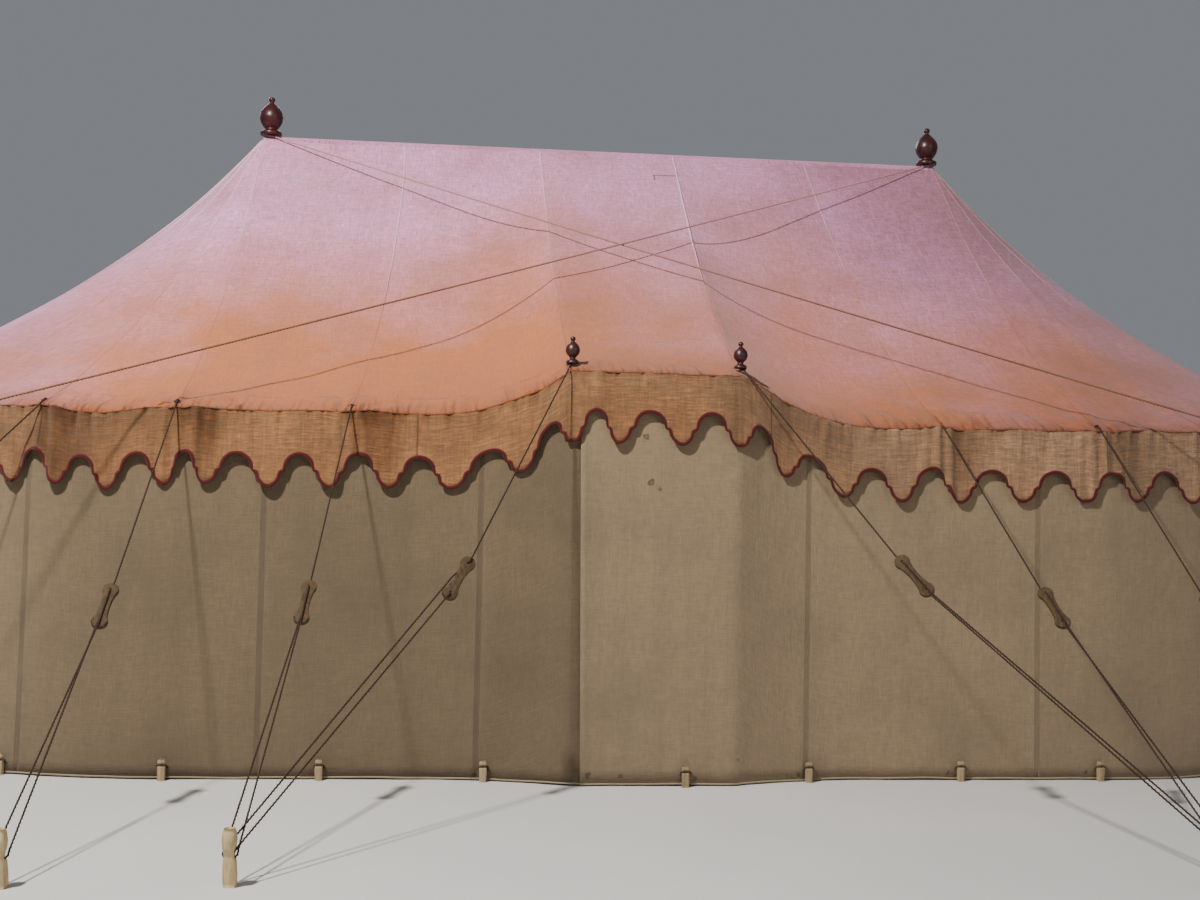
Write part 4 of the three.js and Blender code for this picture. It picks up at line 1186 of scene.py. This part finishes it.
def guy_start(boundary):
    """The first points of a guy line: out of its eyelet and over the eave, or off a door pin."""
    if boundary in DOOR_SEAMS:
        side = -1 if boundary == DOOR_SEAMS[0] else 1
        pin = np.array([side * DOOR_HALF, DOOR_POLE_Y, DOOR_FINIAL_Z - GUY_R - ROPE_CLEAR])
        edge = np.array([side * (DOOR_HALF + 0.020), -PORCH_REACH - 0.010, PORCH_Z + 0.006])
        return [pin + [side * 0.011, 0, 0], pin + [side * 0.012, -0.010, 0], edge]
    hole, normal = roof.under_guy(boundary, EYELET_UP)
    rest, rest_normal = roof.under_guy(boundary, REST_UP)
    edge, out = roof.at_eave(np.array([roof.guy_place(boundary)]))
    return [hole - normal * 0.008, hole + normal * 0.008, rest + rest_normal * 0.0085,
            edge[0] + out[0] * 0.011 + [0, 0, -0.004]]


def guy_line(ropes, sliders, boundary, stake_xy, order, step):
    """One guy: eave to slider, through it to the stake, round the neck and back to the slider."""
    start = guy_start(boundary)
    neck = np.array([stake_xy[0], stake_xy[1], STAKE_NECK_Z - 0.007 + 0.014 * order])
    share, slack = FRONT_HANGS.get(boundary, EAVE_HANG)
    middle = start[-1] + (neck - start[-1]) * share - [0, 0, slack]
    run = unit(unit(middle - start[-1]) + unit(neck - middle) - [0, 0, SLIDER_DROOP])
    across = unit(np.cross(roof.outs[roof.first[boundary]], run))
    face = np.cross(run, across)
    upper, lower = middle - run * SLIDER_HALF, middle + run * SLIDER_HALF
    off = SLIDER_THICK / 2 + GUY_R + ROPE_CLEAR
    if boundary == DOOR_SEAMS[0]:
        threaded = [upper + face * off - run * 0.028, upper + face * off, upper - face * off,
                    middle - across * (SLIDER_WAIST + 0.010) - face * 0.004]
    else:
        threaded = [upper - face * off - run * 0.028, upper - face * off, upper + face * off,
                    upper + face * off + run * 0.030, lower + face * off + run * 0.024 + across * 0.002]
    home = unit(neck - lower)
    spread = unit(np.array([-run[1], run[0], 0.0])) * (1 if boundary % 2 else -1)
    round_neck = [neck + spread * 0.022 - home * 0.012, neck + spread * 0.026 + home * 0.010,
                  neck + home * 0.030,
                  neck - spread * 0.026 + home * 0.010, neck - spread * 0.022 - home * 0.012]
    back = [lower + face * off - across * 0.004 + run * 0.034, lower + face * off, lower - face * off]
    laid_rope(ropes, rounded(start + threaded + round_neck + back, 0.014), GUY_R, step)
    knot = lower - face * (off + 0.003)
    laid_rope(ropes, coil(knot, run, 0.0065, 2.2, 0.0075), GUY_R * 0.9)
    for turn in (-1, 1) if boundary in (0, 1) else ():
        tip = lower + run * (SLIDER_END_R + 0.002)
        tail = [tip + face * 0.008, tip + face * 0.006 + across * turn * 0.016 - run * 0.004,
                tip + face * (off - 0.002) + across * turn * 0.028 - run * 0.022]
        laid_rope(ropes, rounded(tail, 0.012), GUY_R * 0.55)
    sliders.append((middle, run, across, face))
    if boundary in DOOR_SEAMS:
        laid_rope(ropes, coil(start[0], UP, 0.012, 1.15), GUY_R)


SLIDER_HOLE_R = 0.0075
SLIDER_ROUNDING = 0.003


def slider_mesh():
    """A dog-bone of flat wood with a hole at each end, its edges rounded over."""
    curve = bpy.data.curves.new("slider outline", "CURVE")
    curve.dimensions = "2D"
    curve.fill_mode = "BOTH"
    curve.extrude = SLIDER_THICK / 2 - SLIDER_ROUNDING
    curve.bevel_depth = SLIDER_ROUNDING
    curve.bevel_resolution = 1
    round_to = math.pi - math.asin(SLIDER_WAIST / SLIDER_END_R) - 0.34
    wide = SLIDER_END_R * math.sin(round_to)
    reach = SLIDER_HALF + SLIDER_END_R * math.cos(round_to)
    outline, holes = [], []
    for end in (1, -1):
        for angle in np.linspace(-round_to, round_to, 15):
            outline.append((end * (SLIDER_HALF + SLIDER_END_R * math.cos(angle)),
                            end * SLIDER_END_R * math.sin(angle)))
        for x in np.linspace(reach, -reach, 7)[1:-1]:
            half = SLIDER_WAIST + (wide - SLIDER_WAIST) * (abs(x) / reach) ** 2.4
            outline.append((end * x, end * half))
        holes.append([(end * SLIDER_HALF + SLIDER_HOLE_R * math.cos(a), SLIDER_HOLE_R * math.sin(a))
                      for a in np.linspace(0, TAU, 12, endpoint=False)])
    for ring in [outline] + holes:
        spline = curve.splines.new("POLY")
        spline.points.add(len(ring) - 1)
        for point, (x, y) in zip(spline.points, ring):
            point.co = (x, y, 0, 1)
        spline.use_cyclic_u = True
    holder = bpy.data.objects.new("slider outline", curve)
    work = bmesh.new()
    work.from_mesh(bpy.data.meshes.new_from_object(holder))
    bpy.data.objects.remove(holder)
    bmesh.ops.remove_doubles(work, verts=work.verts, dist=1e-5)
    points = np.array([v.co[:] for v in work.verts])
    faces = [[v.index for v in f.verts] for f in work.faces]
    work.free()
    return points, faces


SLIDER_POINTS, SLIDER_FACES = slider_mesh()

# Height, reach away from the tent, reach towards it, and half width of a hewn stake
STAKE_SHAPE = [(0, 0.019, 0.026, 0.021), (0.035, 0.020, 0.026, 0.022), (0.080, 0.019, 0.024, 0.021),
               (0.094, 0.018, 0.021, 0.020), (0.100, 0.017, 0.011, 0.017), (0.118, 0.021, 0.013, 0.018),
               (0.128, 0.024, 0.022, 0.021), (0.155, 0.027, 0.026, 0.024), (0.180, 0.023, 0.023, 0.021),
               (0.1935, 0.017, 0.018, 0.016)]

# The same for the small flat pegs along the foot of the walls
PEG_SHAPE = [(0, 0.012, 0.013, 0.016), (0.030, 0.013, 0.012, 0.017), (0.060, 0.013, 0.012, 0.0175),
             (0.064, 0.007, 0.012, 0.0170), (0.074, 0.007, 0.012, 0.0170), (0.078, 0.013, 0.012, 0.0175),
             (0.088, 0.012, 0.011, 0.0160), (0.094, 0.008, 0.008, 0.0120)]


def squared(shares):
    """Cosines or sines pushed outwards, so that a circle of them comes near a square."""
    return np.sign(shares) * np.abs(shares) ** 0.55


def hewn_stake(parts, x, y, towards, outline=STAKE_SHAPE, lean=0.105, seed=0.0):
    """A squarish stake, hewn by hand, notched for the rope and leaning away from its pull."""
    angles = (np.arange(STAKE_RING) + 0.5) * TAU / STAKE_RING
    corner, other = squared(np.cos(angles)), squared(np.sin(angles))
    outline = np.array(outline)
    heights = outline[:, 0]
    fine = np.unique(np.concatenate([heights, np.linspace(0, heights[-1], 16)]))
    away, toward, half = (row[:, None] for row in between_rows(fine, heights, outline[:, 1:]).T)
    grid = np.stack([corner * np.where(corner > 0, toward, away), other * half,
                     np.broadcast_to(fine[:, None], (len(fine), STAKE_RING))], axis=2)
    rough = noise_at(grid, (55, 55, 16), seed) * 0.0016 + noise_at(grid, (120, 120, 30), seed + 5) * 0.0008
    grid[..., :2] *= 1 + (rough / 0.02)[..., None]
    grid[..., 0] -= grid[..., 2] * lean
    grid[-1, :, 2] += 0.0012 * np.sin(5 * angles)
    grid[..., 2] = np.maximum(grid[..., 2], 0)
    heading = np.array([towards[0], towards[1]]) / np.hypot(*towards[:2])
    turned = np.stack([x + grid[..., 0] * heading[0] - grid[..., 1] * heading[1],
                       y + grid[..., 0] * heading[1] + grid[..., 1] * heading[0], grid[..., 2]], axis=2)
    closed_rings(parts, turned, fine, flip=True)


def guy_side(label):
    """The ropes, sliders and stakes on one side of the tent."""
    names, step, seed = GUY_SIDES[label]
    ropes, sliders, stakes, places = Parts(), Parts(), Parts(), []
    for k, name in enumerate(names):
        x, y = STAKE_PLACES[name]
        for order, boundary in enumerate(GUYS[name]):
            guy_line(ropes, places, boundary, (x, y), order, step)
        target = roof.at_eave([roof.guy_place(GUYS[name][0])])[0][0]
        hewn_stake(stakes, x, y, (target[0] - x, target[1] - y), seed=3.0 * k + seed)
    uv = [SLIDER_POINTS[k, :2] for corners in SLIDER_FACES for k in corners]
    for middle, run, across, face in places:
        sliders.add(middle + SLIDER_POINTS @ np.stack([run, across, face]), SLIDER_FACES, uv)
    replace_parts(ropes.piece(f"guy_ropes_{label}", ROPE, "rope"), *[f"guys_{name}" for name in names])
    sliders.piece(f"guy_sliders_{label}", SLIDER_WOOD, "slider_wood")
    stake_piece = stakes.piece(f"guy_stakes_{label}", STAKE_WOOD, "stake_wood")
    if label == "front":
        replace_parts(stake_piece, *[f"stake_{name}" for name in names])


# How far from its stake the knot of a storm line is
STORM_KNOT = 0.185


def storm_ropes():
    """Two long lines: each is looped over an upright's pin and held by stakes beyond the other end."""
    for hand, side, sag in (("left", -1, 0.060), ("right", 1, 0.035)):
        ropes = Parts()
        centre = np.array([side * UPRIGHT_X, 0, FINIAL_Z - STORM_R - ROPE_CLEAR])
        laid_rope(ropes, coil(centre, UP, 0.0145, 1.3, 0.002), STORM_R)
        for face, step in ((-1, LAY_STEP), (1, FAR_LAY_STEP)):
            start = centre + [-side * 0.006, face * 0.0140, 0]
            stake = np.array([-side * STORM_X, face * STORM_Y, STAKE_NECK_Z])
            run = unit(stake - start)
            across = unit(np.array([-run[1], run[0], 0.0]))
            span = np.linalg.norm(stake - start)
            shares = np.linspace(0, 1, 40)[:, None]
            line = start + (stake - across * 0.024 - start) * shares
            line[:, 2:] -= 4 * sag * shares * (1 - shares)
            loop = rounded([line[-1], stake - across * 0.028 + run * 0.012, stake + run * 0.034,
                            stake + across * 0.028 + run * 0.012, stake + across * 0.020 - run * 0.05,
                            stake - run * 0.17 + [0, 0, 0.022]], 0.02)
            laid_rope(ropes, np.concatenate([line, loop[1:]]), STORM_R, step)
            knot = start + run * (span - STORM_KNOT)
            knot[2] = np.interp(1 - STORM_KNOT / span, shares[:, 0], line[:, 2]) + 0.003
            laid_rope(ropes, coil(knot, run, 0.0125, 4.2, 0.0115), STORM_R * 0.9, 0.006)
        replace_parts(ropes.piece(f"storm_rope_{hand}", STORM_ROPE, "rope"), f"storm_line_{hand}")
    stakes = Parts()
    for k, (side, face) in enumerate([(-1, -1), (1, -1), (-1, 1), (1, 1)]):
        x, y = side * STORM_X, face * STORM_Y
        hewn_stake(stakes, x, y, (-x, -y), seed=20.0 + k)
    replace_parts(stakes.piece("storm_stakes_hewn", STAKE_WOOD, "stake_wood"), "storm_stake_front_left",
                "storm_stake_front_right", "storm_stake_back_left", "storm_stake_back_right")


# Finials: pairs of a radius and a height in millimetres

FINIAL_SHAPE = [(0, 0), (58, 0), (63, 3), (65, 11), (63, 19), (56, 24), (44, 29), (38, 36), (40, 43),
                (50, 55), (62, 76), (69, 100), (69.5, 118), (65, 138), (54, 158), (40, 174), (25, 189),
                (14, 199), (12, 203), (16, 209), (19.5, 218), (16, 229), (8, 235), (0, 236)]
DOOR_FINIAL_SHAPE = [(0, 0), (25, 0), (29, 3), (29, 9), (24, 16), (15, 21), (13, 24), (17, 32), (26, 41),
                     (32, 54), (32, 65), (28, 78), (20, 89), (11, 97), (7.5, 101), (9, 105), (12.5, 111),
                     (10, 118), (5, 122), (0, 123)]


def smooth_profile(points, count):
    """Radius and height pairs through a few hand-set points, on a soft curve."""
    points = np.array(points, float)
    run = run_along(points)
    padded = np.vstack([2 * points[0] - points[1], points, 2 * points[-1] - points[-2]])
    found = []
    for place in np.linspace(0, run[-1], count):
        k = min(np.searchsorted(run, place, side="right") - 1, len(run) - 2)
        t = (place - run[k]) / (run[k + 1] - run[k])
        p0, p1, p2, p3 = padded[k:k + 4]
        found.append(0.5 * (2 * p1 + (p2 - p0) * t + (2 * p0 - 5 * p1 + 4 * p2 - p3) * t ** 2
                            + (3 * p1 - p0 - 3 * p2 + p3) * t ** 3))
    found = np.array(found)
    found[:, 0] = np.maximum(found[:, 0], 0.0003)
    return found


def turned_finial(node, shape, x, y, z):
    profile = smooth_profile(shape, 84) * 0.001
    radius, height = profile[:, :1], profile[:, 1:]
    angles = np.linspace(0, TAU, FINIAL_RING, endpoint=False)
    rings = np.stack([x + radius * np.cos(angles), y + radius * np.sin(angles),
                      z + height + 0 * angles], axis=2)
    turned = Parts()
    closed_rings(turned, rings, profile[:, 1], flip=True)
    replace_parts(turned.piece(f"{node}_turned", FINIAL_PAINT, "finial_paint"), node)


# Small pieces: pegs, repairs and eyelets

def wall_pegs():
    """Pegs along the foot of the walls, each with a cord loop from the hem."""
    pegs, loops = Parts(), Parts()
    seen = [wall_place_at(x) for x in FRONT_PEGS]
    half = wall_places[-1] / 2
    right, left = max(p for p in seen if p < half), min(p for p in seen if p > half)
    count = round((left - right) / PEG_SPACING)
    for k, place in enumerate(seen + list(np.linspace(right, left, count + 1)[1:-1])):
        column = int(round(place / WALL_STEP))
        base, out = wall_points[column, -1], wall_out[column]
        at = base + out * 0.022
        hewn_stake(pegs, at[0], at[1], -out, PEG_SHAPE, 0.02, seed=50.0 + k)
        along = np.array([-out[1], out[0], 0.0])
        hem = base - out * 0.001 + [0, 0, 0.040]
        neck = np.array([at[0], at[1], 0.069]) + out * 0.004
        half = [hem + along * 0.021, hem + along * 0.022 + out * 0.006,
                neck + along * 0.0205, neck + along * 0.017 + out * 0.007]
        other = [hem - along * 0.021, hem - along * 0.022 + out * 0.006,
                 neck - along * 0.0205, neck - along * 0.017 + out * 0.007]
        path = other + half[::-1]
        laid_rope(loops, rounded(path, 0.008), 0.0022, 0.006)
    pegs.piece("wall_pegs", PEG_WOOD, "stake_wood")
    loops.piece("wall_peg_loops", ROPE, "rope")


# Repairs on the front of the roof, as places seen from the front: a tear sewn up in an L, and two darns
ROOF_TEAR = [(0.271, 3.163), (0.271, 3.206), (0.413, 3.206)]
ROOF_DARNS = [(-1.86, 3.075, 0.10), (-1.76, 3.03, 0.07)]
STITCH_PITCH = 0.006
STITCH_R = 0.0009
DARN_LINES = 9


def on_front(x, z):
    """The point and normal of the front of the roof where it is seen at x and z."""
    column, row = nearest(roof.points[:, :-1], x, z, -0.05)
    at = roof.points[column, row]
    across = (roof.points[(column + 1) % roof.count, row] - roof.points[column - 1, row]) / 2
    down = (roof.points[column, row + 1] - roof.points[column, row - 1]) / 2
    shares = np.linalg.solve(np.array([across, down])[:, [0, 2]].T, [x - at[0], z - at[2]])
    return at + shares[0] * across + shares[1] * down, roof.normals[column, row]


def roof_repairs():
    """Whipped stitches along a sewn tear, and darns of pale thread, laid on the cloth."""
    thread = Parts()
    for (x0, z0), (x1, z1) in zip(ROOF_TEAR, ROOF_TEAR[1:]):
        steps = int(math.hypot(x1 - x0, z1 - z0) / STITCH_PITCH)
        along = unit(np.array([x1 - x0, 0.0, z1 - z0]))
        for share in (np.arange(steps) + 0.5) / steps:
            at, normal = on_front(x0 + (x1 - x0) * share, z0 + (z1 - z0) * share)
            aside = unit(np.cross(normal, along)) * 0.006 + along * 0.002
            path = np.stack([at - aside, at + normal * 0.002, at + aside]) + normal * 0.0012
            strand(thread, path, SQUARE * STITCH_R)
    thread.piece("roof_tear_stitches", THREAD, "rope")
    darn = Parts()
    for x, z, width in ROOF_DARNS:
        for k in range(DARN_LINES):
            from_middle = k - DARN_LINES // 2
            path = []
            for share in np.linspace(0, 1, 9):
                at, normal = on_front(x + (share - 0.5) * width * (1 - 0.06 * abs(from_middle)),
                                      z + from_middle * 0.006)
                path.append(at + normal * (0.0012 + 0.0012 * math.sin(9 * math.pi * share + k * math.pi)))
            strand(darn, path, SQUARE * STITCH_R * 1.6)
    darn.piece("roof_darns", ROOF_SEAM, "roof_linen")


def eyelets():
    """A worked ring where each guy line leaves the roof, and the knot that stops the rope in it."""
    rings = Parts()
    for boundary in EAVE_GUYS:
        hole, normal = roof.under_guy(boundary, EYELET_UP)
        along = unit(np.cross(normal, UP))
        upward = np.cross(along, normal)
        laid_rope(rings, coil(hole + normal * 0.002, normal, 0.0125, 1.02), 0.0028)
        knot = hole + normal * 0.007 + upward * 0.009
        laid_rope(rings, coil(knot, along, 0.0042, 2.2, 0.0056), GUY_R * 0.65, 0.004)
        for turn in (-1, 1):
            tail = [knot + along * turn * 0.005, knot + along * turn * 0.011 + upward * 0.003,
                    knot + along * turn * (0.016 + 0.004 * math.sin(boundary)) - upward * 0.006 * turn
                    - normal * 0.003]
            laid_rope(rings, rounded(tail, 0.008), GUY_R * 0.35)
    rings.piece("guy_eyelets", ROPE, "rope")


def paint_poles():
    """The poles stay as the frame has them and get their wood."""
    for name in ("upright_left", "upright_right", "ridge_pole", "door_pole_left", "door_pole_right"):
        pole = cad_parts[name]
        pole.data.materials.clear()
        pole.data.materials.append(POLE_WOOD)


# The room round the tent: pale floor, soft lights and the camera

def floor(reach=60.0):
    pale = Surface("pale floor", 0.8, Specular_IOR_Level=0.2)
    shade = pale.mix(pale.ramp(pale.cloud(pale.place, 0.8, 3.0), 0.3, 0.7), rgb(196, 196, 194),
                     rgb(204, 203, 200))
    pale.tree.links.new(shade, pale.shader.inputs["Base Color"])
    mesh = bpy.data.meshes.new("studio floor")
    mesh.from_pydata([(-reach, -reach, 0), (reach, -reach, 0), (reach, reach, 0), (-reach, reach, 0)], [],
                     [(0, 1, 2, 3)])
    mesh.materials.append(pale.material)
    plane = bpy.data.objects.new("studio_floor", mesh)
    plane.location.z = -0.0005
    bpy.context.scene.collection.objects.link(plane)


def area_light(name, place, target, size, watts, colour):
    data = bpy.data.lights.new(name, "AREA")
    data.size = size
    data.energy = watts
    data.color = colour
    light = bpy.data.objects.new(name, data)
    light.location = place
    light.rotation_euler = (Vector(target) - Vector(place)).to_track_quat("-Z", "Y").to_euler()
    bpy.context.scene.collection.objects.link(light)


def studio():
    floor()
    world = bpy.data.worlds.new("studio")
    world.use_nodes = True
    background = world.node_tree.nodes["Background"]
    background.inputs["Color"].default_value = rgb(214, 218, 226)
    background.inputs["Strength"].default_value = 0.31
    bpy.context.scene.world = world
    area_light("key", (-4.0, -6.6, 7.0), (-0.4, -1.3, 1.8), 0.35, 1120, (1.0, 0.95, 0.90))
    area_light("fill", (6.0, -10.0, 4.0), (0.5, -1.0, 1.2), 6.0, 150, (0.97, 0.98, 1.0))
    area_light("back", (-4.0, 11.0, 9.0), (0, 0, 2.0), 6.0, 700, (1.0, 0.98, 0.95))


def camera():
    """The photograph's viewpoint, worked out from its ridge, seams, eave and ground line."""
    yaw, pitch, roll = (math.radians(a) for a in (5.815, 1.164, 1.27))
    forward = Vector((math.sin(yaw) * math.cos(pitch), math.cos(yaw) * math.cos(pitch), math.sin(pitch)))
    level = Vector((math.cos(yaw), -math.sin(yaw), 0))
    upward = level.cross(forward)
    right = level * math.cos(roll) + upward * math.sin(roll)
    above = upward * math.cos(roll) - level * math.sin(roll)
    data = bpy.data.cameras.new("camera")
    data.sensor_width = 36.0
    data.lens = 43.08
    cam = bpy.data.objects.new("camera", data)
    cam.matrix_world = Matrix([(*column, 0) for column in (right, above, -forward)]
                              + [(-0.900, -8.860, 1.350, 1)]).transposed()
    bpy.context.scene.collection.objects.link(cam)
    bpy.context.scene.camera = cam


camera()
studio()
paint_poles()
roof_sheet = roof_cloth()
end_seams = [k for k in range(len(BREADTHS)) if k not in STRAIGHT_SEAMS]
roof_trim = [roof_seams("roof_seams", STRAIGHT_SEAMS, usual_height=0.0080, steps=110),
             roof_seams("roof_end_seams", end_seams, usual_height=0.0034, steps=76),
             ridge_band(), eave_hem()]
eave_stitches()
valance_points, valance_places, valance_soil = valance_surface()
valance_sheet = valance_cloth(valance_points, valance_places, valance_soil)
binding = valance_binding(valance_points, valance_places)
wall_sheet = wall_cloth()
wall_trim = [wall_seams(), wall_selvedge()]
for label in GUY_SIDES:
    guy_side(label)
storm_ropes()
turned_finial("finial_left", FINIAL_SHAPE, -UPRIGHT_X, 0, FINIAL_Z)
turned_finial("finial_right", FINIAL_SHAPE, UPRIGHT_X, 0, FINIAL_Z)
turned_finial("door_finial_left", DOOR_FINIAL_SHAPE, -DOOR_HALF, DOOR_POLE_Y, DOOR_FINIAL_Z)
turned_finial("door_finial_right", DOOR_FINIAL_SHAPE, DOOR_HALF, DOOR_POLE_Y, DOOR_FINIAL_Z)
wall_pegs()
eyelets()
roof_repairs()
